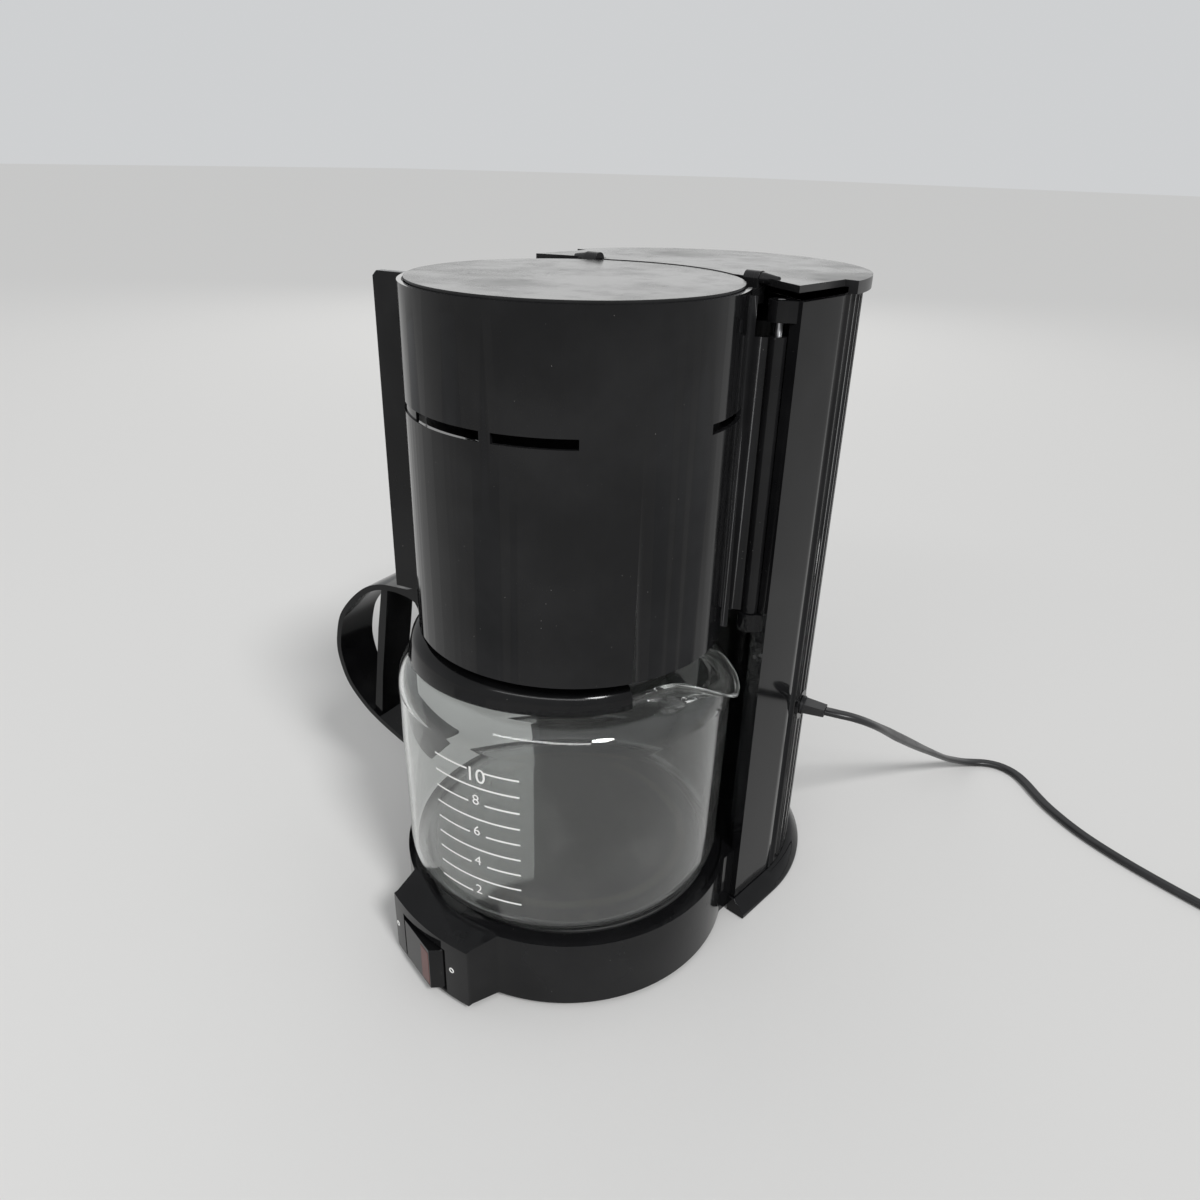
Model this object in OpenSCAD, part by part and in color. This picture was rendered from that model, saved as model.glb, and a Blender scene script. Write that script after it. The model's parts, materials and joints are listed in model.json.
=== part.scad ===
// Drip coffee maker with a swing-out filter holder, a glass jug and a fluted water column.
// Frame: the origin is on the table under the axis of the round base, +Z is up, the switch
// looks to -Y and the water column stands at +Y. Lengths are in millimetres.
// Azimuths are measured from -Y towards +X.

/* [Base] */
// Radius of the round base
drum_r = 81; // [80:0.5:83]
// Height of the base rim above the table
drum_h = 38.2; // [36:0.2:42]
// Gap between the table and the base, filled by the feet
foot_h = 3.5; // [3:0.5:5]
// Wall thickness of the base shell
base_wall = 2.6; // [2.2:0.2:3]
// Thickness of the base plate
plate_t = 1.8; // [1.4:0.2:2.2]
// Distance from the rim of the base in to the hot plate
hot_inset = 13; // [12.5:0.5:15]
// Half of the width of the switch box at its front
box_half_w = 26.4; // [25:0.2:28]
// How far the switch box stands out from the round base
box_out = 11.8; // [10:0.2:14]
// Drop of the switch box's top from the rim to its front edge
box_slope = 3.2; // [2:0.2:4]
// Radius of a rubber foot
foot_r = 6; // [5:0.5:8]

/* [Column] */
// How much narrower than the base the column is, on each side
col_inset = 5.6; // [3:0.2:7]
// Wall thickness of the column
col_wall = 3.2; // [2.8:0.2:3.6]
// Distance from the base axis to the front edges of the side panels
col_front_y = 45; // [44:0.5:47]
// Distance from the base axis to the axis of the round back
col_axis_y = 72; // [70:0.5:76]
// Angle between two flutes of the back
flute_step = 5; // [5:1:9]
// Radius of the cutter of one flute
flute_r = 4.2; // [4:0.1:5]
// Height of the plinth
plinth_h = 9; // [7:0.5:12]
// How far the plinth spreads on the table
plinth_spread = 7; // [5:0.5:9]

/* [Filter holder] */
// How much narrower than the base the filter holder is, on each side
filter_inset = 12.5; // [11:0.5:14]
// Height of the filter holder
filter_h = 144.6; // [140:0.2:150]
// Wall thickness of the filter holder
filter_wall = 1.8; // [1.6:0.1:2]
// Height of the steam slots above the bottom of the filter holder
slot_z = 96; // [90:0.5:100]
// Height of one steam slot
slot_h = 4; // [3:0.5:5]
// How far the grip fin reaches from the filter holder
fin_reach = 19.5; // [16:0.5:22]
// Distance from the wall of the filter holder to the hinge axis
hinge_gap = 11.4; // [11:0.1:13]
// Radius of the hinge pin
pin_r = 1.5; // [1.3:0.1:1.7]
// Radius of the hinge tube
tube_r = 4; // [3.6:0.1:4.4]
// Radius of the hinge bosses
boss_r = 5; // [4.6:0.1:5.4]

/* [Lids] */
// Thickness of the tank lid
lid_t = 2.7; // [2.3:0.1:3]
// Depth of the tank lid's skirt
lid_skirt = 5.2; // [4.4:0.2:5.2]
// How far the tank lid reaches past the flutes
lid_over = 3.1; // [2:0.1:4]
// Thickness of the round cover over the filter
cover_t = 3.8; // [3:0.2:4.4]
// Radius of a lid hinge ear
ear_r = 2.9; // [2.6:0.1:3.1]

/* [Jug] */
// Height of the jug's glass
jug_h = 110.4; // [106:0.2:114]
// How much narrower than the base the glass is, on each side
jug_inset = 3.4; // [3:0.2:5]
// How much narrower the foot of the glass is than its shoulder
jug_taper = 0.8; // [0:0.2:2.6]
// How far the neck is drawn in from the shoulder
neck_inset = 16.6; // [15.6:0.5:18.6]
// Thickness of the glass
glass_t = 2.2; // [1.8:0.1:2.6]
// How far the pouring lip stands out past the shoulder
lip_out = 9.4; // [6.4:0.5:10.4]
// How far the handle's strap stands out past the shoulder
strap_out = 62.4; // [56.4:0.2:63.4]
// Thickness of the handle's strap
strap_t = 3; // [2.4:0.2:3.6]
// Width of the handle's strap
strap_w = 24; // [20:1:28]
// Level lines printed on the glass
level_count = 9; // [5:1:9]

/* [Switch] */
// Height of the base rim above the table that the rocker leaves free
rocker_free = 15.2; // [15.2:0.5:18]
// Half of the width of the rocker
rocker_half_w = 14.4; // [13:0.2:15]
// Angle by which the rocker is tilted when it is switched on
rocker_tilt = 9.5; // [8:0.5:10]

/* [Mains lead] */
// Width of the flat lead
lead_w = 5.6; // [5.2:0.1:6.4]
// Thickness of the flat lead
lead_t = 3.2; // [3:0.1:3.6]

/* [Hidden] */

$fn = 72;
// Cutters run this far past what they cut
over = 1;
// Gap between pieces that are set into each other
set_gap = 0.3;
// Radial clearance of a running fit
run_gap = 0.05;
// Larger than the whole machine, for half-space cutters
far = 400;

// Radii that follow the round base
hot_r = drum_r - hot_inset;
box_r = drum_r + box_out;
col_r = drum_r - col_inset;
filter_r = drum_r - filter_inset;
jug_r = drum_r - jug_inset;
jug_foot_r = jug_r - jug_taper;
neck_r = jug_r - neck_inset;
lip_reach = jug_r + lip_out;
strap_reach = jug_r + strap_out;

// Heights, from the table up
deck_t = 2.6;
deck_z = drum_h - 1.2;
hot_top = drum_h + 1.1;
hot_t = 2.5;
hot_z = hot_top - hot_t;
jug_z = hot_top + set_gap;
neck_h = 5;
rim_z = jug_z + jug_h;
jug_lid_top = rim_z + 10;
filter_z = jug_lid_top + 2;
slot_bottom = filter_z + slot_z;
slot_top = slot_bottom + slot_h;
rim_top = filter_z + filter_h;
col_top = rim_top - 4.1;
front_top = col_top - 6.5;
cover_top = rim_top + 1.1;
cover_bottom = cover_top - cover_t;
lid_top = rim_top + 1.4;
lid_bottom = lid_top - lid_t;
ear_z = lid_top - 0.4;
tank_top = col_top - 4.5;
tank_bottom = drum_h + 24;

// Plan of the base
box_flare = 4;
box_arc = 120;
box_back = drum_r - 7;
rim_w = 2.5;
deck_hole_r = hot_r + 2;
seal_r = hot_r + 4;
bridge_half = col_r - col_wall;

// Plan of the column
recess_r = drum_r + 1;
front_wall = 2.4;
recess_back = recess_r + front_wall;
tank_gap = 1;
tank_wall = 2;
riser_r = 3.6;
tank_front_r = recess_back + 2 * riser_r + 3.4;
first_flute = 5;
flute_depth = 1.1;
hose_x = 19;
riser_y = sqrt(pow(recess_back + riser_r + 1.9, 2) - pow(hose_x, 2));
bridge_back = riser_y - riser_r - set_gap;
hose_y = riser_y + 17;

// Filter hinge, behind +X as seen from the axis
hinge_angle = 34.3;
hinge_d = filter_r + hinge_gap;
hinge_x = hinge_d * cos(hinge_angle);
hinge_y = hinge_d * sin(hinge_angle);
knuckle_h = 8.2;
tube_z = filter_z + knuckle_h + set_gap;
boss_top = col_top + 0.1;
boss_z = boss_top - 8.1;
tube_top = boss_z - 5.5;
rim_start = -62;
rim_end = 124;
slots = [[-17, 15], [19, 46], [93, 120]];

// Lid hinge
cover_r = filter_r - filter_wall - 0.7;
seam = 0.6;
ear_y = cover_r - 8.5;
ear_x = 40.7;
ear_w = 7.3;
knuckle_w = 7.7;
lid_pin_r = 1;
lid_half_w = col_r - 3.4;
lid_r = col_r + lid_over;
lid_corner_y = col_front_y + 2;
lid_step_y = col_axis_y + 9;
neck_half_w = 34;
neck_z = col_top - 14.5;
drum_head_r = 45;
drum_head_z = rim_top - 36;

// Jug
jug_x = -1.6;
jug_y = -1.6;
lip_az = 101.5;
handle_az = -78;
shoulder_arc = 14;
foot_arc = 7.5;
bead_r = neck_r + 1;
neck_z0 = rim_z - neck_h;
collar_r = neck_r + 6;
collar_shift = 7.2;
collar_z = rim_z - 11;
collar_top = rim_z + 6;
collar_open = 31.5;
screw_reach = neck_r + 7;
guard_w = strap_w - 4;
level_step = 8.27;
first_level = jug_z + 16.6;

// Switch
pivot_x = -2;
pivot_in = 8.6;
pivot_y = pivot_in - box_r;
opening_l = 12.8;
switch_l = 24.6;
rocker_z = foot_h + plate_t + set_gap;
rocker_h = drum_h - rocker_free;
rocker_front = 10.5;
rocker_nose = 11.5;
rocker_base = 6;
opening_half = rocker_half_w + 1.2;
cheek_t = 2.2;
switch_half = opening_half + 2;

// Mains lead: where it leaves the housing, and its route on to the coil
lead_turn = 14.9;
lead_reach = col_r + 0.64;
lead_exit = [lead_reach * cos(lead_turn), col_axis_y + lead_reach * sin(lead_turn), 104];
relief_l = 12;
route = [[88.4, 95.6, 104.1], [91.5, 97.2, 103.8], [96, 100.9, 102.6], [99.7, 105.8, 100.1],
         [102.2, 111.6, 96.5], [103.3, 118.3, 92], [103.5, 126, 86.7], [103.3, 135, 80.5],
         [103, 145, 73.5], [102.6, 156, 66], [102.2, 168, 57.8], [101.8, 181, 49], [101.5, 195, 39.6],
         [101.5, 209, 30.3], [102, 222, 21.7], [103, 234, 14], [105, 245, 8], [108, 254, 3.8],
         [112, 260.8, 1.9], [117.5, 265.8, 1.6], [124, 268.7, 1.6], [131, 269, 1.6], [138, 266.8, 1.6],
         [145, 262.2, 1.6], [155, 254, 1.6], [164, 247.6, 1.6], [177, 240.5, 1.6], [190, 235, 1.6],
         [205, 230.5, 1.6], [220, 227, 1.6], [235, 224.3, 1.6], [250, 222, 1.6], [264, 220.3, 1.6]];
coil_c = [292, 249.3];
coil_r = 32;
coil_h = 2 * lead_t;
plug_l = 34;
plug_w = 22;
plug_h = 14;

// ---------- helpers ----------

// A list of points along an arc, in the plane of a profile
function arc_points(c, r, a0, a1, steps) =
    [for (i = [0:steps]) let (a = a0 + (a1 - a0) * i / steps) c + r * [cos(a), sin(a)]];

// Turns a shape that looks to -Y towards an azimuth
module to_azimuth(az) rotate([0, 0, az]) children();

// A tube along +Z
module tube(ro, ri, h) {
    difference() {
        cylinder(r = ro, h = h);
        translate([0, 0, -over]) cylinder(r = ri, h = h + 2 * over);
    }
}

// A wedge in plan between two azimuths
module wedge(a0, a1, r) {
    steps = ceil((a1 - a0) / 15);
    polygon(concat([[0, 0]], [for (i = [0:steps])
        let (a = a0 + (a1 - a0) * i / steps) r * [sin(a), -cos(a)]]));
}

// A screw with a round head, the head at the bottom
module screw(shank_r, shank_l, head_r, head_h) {
    cylinder(r = head_r, h = head_h);
    translate([0, 0, head_h]) cylinder(r = shank_r, h = shank_l);
}

// A hose that comes down at one place, bends and runs towards -Y
module bent_hose(ro, ri, x, y, z, top, end_y) {
    difference() {
        hose_run(ro, x, y, z, top, end_y);
        hose_run(ri, x, y, z, top + over, end_y - over);
    }
}

// The solid run of a hose: down a riser, round a bend and on towards -Y
module hose_run(r, x, y, z, top, end_y) {
    bend = 8;
    translate([x, y, z + bend]) cylinder(r = r, h = top - z - bend);
    translate([x, y - bend, z + bend]) rotate([0, 90, 0]) rotate_extrude(angle = 90)
        translate([bend, 0]) circle(r = r);
    translate([x, end_y, z]) rotate([-90, 0, 0]) cylinder(r = r, h = y - bend - end_y);
}

// ---------- base ----------

// Plan of the column, drawn in from its outside by inset
module column_plan(inset) {
    side = col_r - inset;
    intersection() {
        translate([0, col_axis_y]) circle(r = side);
        translate([-side, col_axis_y]) square([2 * side, side]);
    }
    translate([-side, col_front_y]) square([2 * side, col_axis_y - col_front_y]);
}

// Plan of the switch box, wider at the drum than at its front
module box_plan(inset) {
    intersection() {
        translate([0, box_arc - box_r]) circle(r = box_arc - inset);
        polygon([[inset - box_half_w, -box_r - over], [box_half_w - inset, -box_r - over],
                 [box_half_w - inset, 5 - box_r], [box_half_w + box_flare - inset, -box_back],
                 [box_half_w - inset, -drum_r / 2], [inset - box_half_w, -drum_r / 2],
                 [inset - box_half_w - box_flare, -box_back], [inset - box_half_w, 5 - box_r]]);
    }
}

// Plan of the base: drum, switch box and the bridge under the column
module base_plan(inset) {
    circle(r = drum_r - inset);
    box_plan(inset);
    intersection() {
        union() {
            column_plan(col_wall + inset);
            translate([inset - bridge_half, 0]) square([2 * (bridge_half - inset), col_front_y + over]);
        }
        translate([-far / 2, 0]) square([far, bridge_back - inset]);
    }
}

// Cuts the sloping top of the switch box
module box_slope_cut() {
    translate([-far / 2, 0, 0]) rotate([90, 0, 90]) linear_extrude(far)
        polygon([[-box_back, drum_h], [-box_r - over, drum_h - box_slope],
                 [-box_r - over, drum_h + over], [-box_back, drum_h + over]]);
}

screw_spots = [for (a = [45, 135, 225, 315]) (drum_r - base_wall - 3.6) * [sin(a), -cos(a)]];

module base_shell() {
    boss = 4;
    color("#141416") difference() {
        union() {
            difference() {
                translate([0, 0, foot_h]) linear_extrude(drum_h - foot_h) base_plan(0);
                translate([0, 0, foot_h - over])
                    linear_extrude(deck_z - deck_t - foot_h + over) difference() {
                        base_plan(base_wall);
                        translate([-far / 2, -far - box_back]) square([far, far]);
                    }
                translate([0, 0, foot_h - over])
                    linear_extrude(deck_z - deck_t - box_slope - foot_h + over) base_plan(base_wall);
            }
            for (p = screw_spots) translate([p[0], p[1], foot_h + plate_t])
                cylinder(r = boss, h = deck_z - foot_h - plate_t - over);
        }
        // Dished deck and the hole for the hot plate
        translate([0, 0, deck_z]) cylinder(r = drum_r - rim_w, h = drum_h);
        translate([0, 0, 0]) cylinder(r = deck_hole_r, h = drum_h);
        box_slope_cut();
        // Opening for the rocker
        translate([pivot_x - opening_half, -box_r - over, foot_h + 1.2])
            cube([2 * opening_half, opening_l, rocker_h + 2.4]);
        // Screw holes
        for (p = screw_spots) translate([p[0], p[1], foot_h]) cylinder(r = 1.5, h = 18);
        // Ways for the hoses through the back wall
        for (s = [-1, 1]) translate([s * hose_x, bridge_back - 2 * base_wall, pipe_z])
            rotate([-90, 0, 0]) cylinder(r = 6.8, h = 4 * base_wall);
    }
}

module base_plate() {
    gap = base_wall + set_gap;
    color("#1b1b1d") difference() {
        translate([0, 0, foot_h]) linear_extrude(plate_t) base_plan(gap);
        translate([pivot_x - switch_half - set_gap, -box_r, foot_h - over])
            cube([2 * (switch_half + set_gap), switch_l + 2.2, plate_t + 2 * over]);
        for (p = screw_spots) translate([p[0], p[1], foot_h - over])
            cylinder(r = 1.6, h = plate_t + 2 * over);
        for (s = [-1, 1]) translate([s * 34, 45, foot_h - over]) cylinder(r = 5, h = plate_t + 2 * over);
    }
}

module base_screws() {
    color("#8d8f92") for (p = screw_spots) translate([p[0], p[1], foot_h - 1.4]) screw(1.5, 14, 3, 1.4);
}

module rubber_feet() {
    color("#4a2a22") for (s = [-1, 1]) translate([s * 34, -60, 0])
        union() {
            cylinder(r1 = foot_r - 0.8, r2 = foot_r, h = 1.2);
            translate([0, 0, 1.2]) cylinder(r = foot_r, h = foot_h - 1.2);
        }
}

// ---------- heating ----------

module hot_plate() {
    lip = 2;
    color("#101011") rotate_extrude() polygon([[0, hot_z], [hot_r, hot_z], [hot_r, hot_top - 0.6],
        [hot_r - 0.6, hot_top], [hot_r - lip, hot_top], [hot_r - lip - 1, hot_top - 0.5],
        [0, hot_top - 0.5]]);
}

module plate_seal() {
    flange_top = deck_z + 1.3;
    color("#222224") rotate_extrude() polygon([[hot_r, deck_z - deck_t], [deck_hole_r, deck_z - deck_t],
        [deck_hole_r, deck_z], [seal_r, deck_z], [seal_r, flange_top - 0.5],
        [seal_r - 0.5, flange_top], [hot_r, flange_top]]);
}

heater_r = 45;
heater_w = 8;
heater_h = 9;
heater_z = hot_z - heater_h;
heater_turn = 50;
pipe_z = deck_z - deck_t - 4.4;
hose_r = 4.1;
hose_bore = 3.1;

module heater() {
    end_y = heater_r * cos(heater_turn / 2) + 14;
    color("#a9abae") {
        difference() {
            union() {
                rotate([0, 0, 90 + heater_turn / 2]) rotate_extrude(angle = 360 - heater_turn)
                    translate([heater_r - heater_w, heater_z]) square([2 * heater_w, heater_h]);
                for (s = [-1, 1]) translate([s * hose_x, heater_r * cos(heater_turn / 2) - 8, pipe_z])
                    rotate([-90, 0, 0]) cylinder(r = 3.4, h = end_y - heater_r * cos(heater_turn / 2) + 8);
            }
            for (s = [-1, 1]) translate([s * hose_x, heater_r * cos(heater_turn / 2), pipe_z])
                rotate([-90, 0, 0]) cylinder(r = 2.6, h = end_y);
        }
    }
}

module heater_clamp() {
    bar_w = 12;
    bar_t = 2;
    color("#9b9da0") {
        translate([-heater_r - heater_w, -bar_w / 2, heater_z - bar_t])
            cube([2 * (heater_r + heater_w), bar_w, bar_t]);
        translate([0, 0, heater_z]) cylinder(r = 3, h = hot_z - heater_z);
    }
}

module thermostat() {
    color("#c9b37a") translate([0, -heater_r, heater_z - 9]) {
        cylinder(r = 8, h = 9);
        translate([-1.5, -13, 2]) cube([3, 26, 0.8]);
    }
}

module thermal_fuse() {
    color("#d8d5cc") translate([heater_r - 6, 12, heater_z - 4.4]) rotate([-90, 0, 0])
        cylinder(r = 2.2, h = 11);
    color("#d8d5cc") translate([heater_r - 9, 14, heater_z - 2.4]) cube([6, 7, 2.4]);
}

valve_y = heater_r * cos(heater_turn / 2) + 14 + set_gap;
valve_l = 10;

module check_valve() {
    color("#d9d9d4") translate([-hose_x, valve_y, pipe_z]) rotate([-90, 0, 0]) tube(hose_r, 2, valve_l);
}

module cold_hose() {
    color("#c9c4ba") mirror([1, 0, 0]) bent_hose(hose_r, hose_bore, hose_x, hose_y, pipe_z,
                                                tank_bottom - set_gap, valve_y + valve_l);
}

module riser_tube() {
    color("#c9c4ba") bent_hose(riser_r, 2.6, hose_x, riser_y, pipe_z, neck_z,
                               heater_r * cos(heater_turn / 2) + 14);
}

// ---------- column ----------

// Plan of the flutes' cutters
module flutes() {
    count = floor((180 - 2 * first_flute) / flute_step + 0.01) + 1;
    start = 90 - (count - 1) * flute_step / 2;
    for (i = [0:count - 1]) translate([0, col_axis_y]) rotate(start + i * flute_step)
        translate([col_r - flute_depth + flute_r, 0]) circle(r = flute_r);
}

// Plan of the column's wall, open in front
module column_wall_plan() {
    difference() {
        column_plan(0);
        translate([0, -over]) column_plan(col_wall);
        column_plan(col_wall);
    }
}

relief_boss_r = 7.5;
relief_r = 4;

// Moves to the place where the lead leaves the column, with +Z along the lead
module at_lead_exit() {
    translate(lead_exit) rotate([0, 0, lead_turn]) rotate([0, 90, 0]) children();
}

module column_housing() {
    color("#161618") difference() {
        union() {
            linear_extrude(plinth_h) column_wall_plan();
            translate([0, 0, plinth_h]) linear_extrude(col_top - plinth_h) difference() {
                column_wall_plan();
                flutes();
            }
            // Upper hinge boss and lower knuckle, with their webs to the side panel
            translate([hinge_x, hinge_y, boss_z]) cylinder(r = boss_r, h = boss_top - boss_z);
            translate([0, 0, boss_z]) linear_extrude(boss_top - boss_z) hinge_web();
            translate([hinge_x, hinge_y, filter_z]) cylinder(r = boss_r, h = knuckle_h);
            translate([0, 0, filter_z]) linear_extrude(knuckle_h) hinge_web();
            // Boss around the lead's entry
            at_lead_exit() translate([0, 0, -3.2]) cylinder(r = relief_boss_r, h = 3);
        }
        translate([hinge_x, hinge_y, filter_z + 2]) cylinder(r = pin_r, h = boss_top);
        at_lead_exit() translate([0, 0, -10]) cylinder(r = relief_r, h = 20);
    }
}

// Plan of the web between a hinge boss and the side panel
module hinge_web() {
    polygon([[hinge_x, hinge_y - 4.5], [col_r - 1, col_front_y + 0.5], [col_r - 1, col_front_y + 2.4],
             [hinge_x, col_front_y + 2.4]]);
}

// Plan of the wall behind the jug, between the side panels, with a pocket for the filter's hinge
module front_plan() {
    pocket_r = tube_r + 2 * set_gap;
    intersection() {
        difference() {
            union() {
                circle(r = recess_back);
                translate([-bridge_half, col_front_y]) square([2 * bridge_half, 2.6]);
                translate([hinge_x, hinge_y]) circle(r = pocket_r + front_wall);
            }
            circle(r = recess_r);
            translate([hinge_x, hinge_y]) circle(r = pocket_r);
        }
        translate([-bridge_half, col_front_y]) square([2 * bridge_half, far]);
    }
}

module column_front() {
    color("#121214") difference() {
        translate([0, 0, drum_h]) linear_extrude(front_top - drum_h) front_plan();
        translate([-neck_half_w - set_gap, 0, neck_z - set_gap])
            cube([2 * (neck_half_w + set_gap), far, far]);
        translate([hinge_x, hinge_y, filter_z - set_gap])
            cylinder(r = boss_r + set_gap, h = knuckle_h + 2 * set_gap);
        translate([0, 0, filter_z - set_gap]) linear_extrude(knuckle_h + 2 * set_gap) hinge_web();
        translate([0, 0, boss_z - set_gap]) linear_extrude(far) hinge_web();
    }
}

floor_t = 2;
floor_z = foot_h - floor_t - set_gap;
floor_screws = [[-55, 100], [55, 100], [0, 132]];

module column_floor() {
    color("#1b1b1d") difference() {
        translate([0, 0, floor_z]) linear_extrude(floor_t) intersection() {
            column_plan(col_wall + set_gap);
            translate([-far / 2, col_front_y + over]) square([far, far]);
        }
        for (p = floor_screws) translate([p[0], p[1], 0]) cylinder(r = 1.6, h = 2 * foot_h);
        for (p = screw_spots) translate([p[0], p[1], 0]) cylinder(r = 3.6, h = far);
    }
}

module column_screws() {
    color("#8d8f92") for (p = floor_screws) translate([p[0], p[1], floor_z - 1]) screw(1.5, 10, 3, 1);
}

module plinth() {
    lip = 2.2;
    front = col_front_y - 1.2;
    side = [[col_r, 0], [col_r + plinth_spread, 0], [col_r + plinth_spread, lip],
            [col_r + 0.5, plinth_h], [col_r, plinth_h]];
    color("#141416") {
        translate([0, col_axis_y, 0]) rotate_extrude(angle = 180) polygon(side);
        for (s = [0, 1]) mirror([s, 0, 0]) {
            translate([0, col_axis_y, 0]) rotate([90, 0, 0]) linear_extrude(col_axis_y - front) polygon(side);
            translate([bridge_half, front, 0]) cube([col_r - bridge_half, col_front_y - front, plinth_h]);
        }
    }
}

// Plan of the tank, drawn in from its outside by inset
module tank_plan(inset) {
    difference() {
        column_plan(col_wall + tank_gap + inset);
        circle(r = tank_front_r + inset);
        translate([-far / 2, 0]) square([far, col_front_y + 3 + inset]);
    }
}

// The pocket in the tank that leaves room for the lead's entry
module lead_pocket(inset) {
    translate([50 - inset, 78 - inset, 0]) cube([50, 42 + 2 * inset, 120 + inset]);
}

module water_tank() {
    color("#2a2b2d") difference() {
        union() {
            difference() {
                translate([0, 0, tank_bottom]) linear_extrude(tank_top - tank_bottom) tank_plan(0);
                lead_pocket(0);
            }
            translate([-hose_x, hose_y, tank_bottom - 9]) cylinder(r = hose_bore - 0.1, h = 9 + over);
        }
        difference() {
            translate([0, 0, tank_bottom + tank_wall]) linear_extrude(far) tank_plan(tank_wall);
            lead_pocket(tank_wall);
        }
        translate([-hose_x, hose_y, tank_bottom - 10]) cylinder(r = 1.9, h = 20);
    }
}

// ---------- brew head and lids ----------

module brew_head() {
    ear_back = 2.5;
    color("#2b2b2d") difference() {
        union() {
            translate([0, 0, cover_bottom]) cylinder(r = cover_r, h = cover_t);
            translate([0, 0, drum_head_z]) cylinder(r = drum_head_r, h = cover_bottom - drum_head_z);
            // Neck back to the column
            translate([0, 0, neck_z]) linear_extrude(cover_bottom - 0.4 - neck_z) intersection() {
                translate([-neck_half_w, 0]) square([2 * neck_half_w, tank_front_r - set_gap]);
                circle(r = tank_front_r - set_gap);
            }
            // Hinge ears of the tank lid
            for (s = [0, 1]) mirror([s, 0, 0]) {
                translate([ear_x, ear_y, ear_z]) rotate([0, 90, 0]) cylinder(r = ear_r, h = ear_w);
                translate([ear_x, ear_y - ear_r, cover_bottom - 6])
                    cube([ear_w, ear_r + ear_back, ear_z - cover_bottom + 6]);
                translate([neck_half_w - over, cover_r - 24, cover_bottom - 6])
                    cube([ear_x + ear_w - neck_half_w + over, 18, 6]);
            }
        }
        // Water way: up from the riser, along the neck and down into the spray chamber
        translate([hose_x, riser_y, neck_z - over]) cylinder(r = 2.6, h = 9);
        translate([hose_x, 12, neck_z + 6]) rotate([-90, 0, 0]) cylinder(r = 2.6, h = riser_y - 12);
        translate([0, 0, drum_head_z - over]) cylinder(r = drum_head_r - 2, h = neck_z - drum_head_z + 8);
        for (s = [0, 1]) mirror([s, 0, 0]) translate([ear_x + 1.3, ear_y, ear_z])
            rotate([0, 90, 0]) cylinder(r = lid_pin_r, h = ear_w);
    }
}

module spray_plate() {
    rings = [[0, 1], [12, 6], [24, 12], [35, 18]];
    color("#3a3a3c") translate([0, 0, drum_head_z - 2.2]) difference() {
        cylinder(r = drum_head_r, h = 2.2);
        for (ring = rings) for (i = [0:ring[1] - 1]) rotate([0, 0, i * 360 / ring[1]])
            translate([ring[0], 0, -over]) cylinder(r = 1.4, h = 5, $fn = 16);
    }
}

module lid_hinge_pins() {
    color("#b9bbbe") for (s = [0, 1]) mirror([s, 0, 0]) translate([ear_x + 1.3, ear_y, ear_z])
        rotate([0, 90, 0]) cylinder(r = lid_pin_r, h = ear_w - 1.3 + knuckle_w - 2);
}

// Plan of the tank lid without its hinge notches
module lid_plan() {
    corner_x = ear_x + ear_w + 1.6;
    difference() {
        union() {
            polygon([[-lid_half_w, lid_corner_y], [-corner_x, ear_y], [0, ear_y - over],
                     [corner_x, ear_y], [lid_half_w, lid_corner_y], [lid_half_w, lid_step_y + over],
                     [-lid_half_w, lid_step_y + over]]);
            intersection() {
                translate([0, col_axis_y]) circle(r = lid_r);
                translate([-far / 2, lid_step_y]) square([far, far]);
            }
        }
        circle(r = cover_r + seam);
        polygon([[-corner_x + 1.6, -far], [corner_x - 1.6, -far], [corner_x - 1.6, 0], [ear_x - 2, ear_y],
                 [2 - ear_x, ear_y], [-corner_x + 1.6, 0]]);
    }
}

module tank_lid() {
    notch_back = 4;
    knuckle_x = ear_x + ear_w + 0.2;
    color("#2b2b2d") difference() {
        union() {
            difference() {
                translate([0, 0, lid_bottom]) linear_extrude(lid_t) lid_plan();
                for (s = [0, 1]) mirror([s, 0, 0]) translate([ear_x - 0.5, 0, lid_bottom - over])
                    cube([ear_w + 0.7, ear_y + notch_back, lid_t + 2 * over]);
            }
            // Skirt outside the flutes
            translate([0, 0, lid_top - lid_skirt]) linear_extrude(lid_skirt - lid_t + 0.1)
                intersection() {
                    translate([0, col_axis_y]) difference() {
                        circle(r = lid_r);
                        circle(r = col_r - 1);
                    }
                    translate([-far / 2, lid_step_y]) square([far, far]);
                }
            for (s = [0, 1]) mirror([s, 0, 0]) translate([knuckle_x, ear_y, ear_z])
                rotate([0, 90, 0]) cylinder(r1 = ear_r - 0.3, r2 = lid_pin_r + 0.4, h = knuckle_w);
        }
        for (s = [0, 1]) mirror([s, 0, 0]) translate([knuckle_x - over, ear_y, ear_z])
            rotate([0, 90, 0]) cylinder(r = lid_pin_r + run_gap, h = knuckle_w - 1);
    }
}

// ---------- filter holder ----------

module filter_hinge_pin() {
    color("#b9bbbe") translate([hinge_x, hinge_y, filter_z + 2])
        cylinder(r = pin_r, h = boss_top - filter_z - 2);
}

fin_t = 4;
fin_az = rim_start + 0.5;
fin_turn = 16.5;

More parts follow.
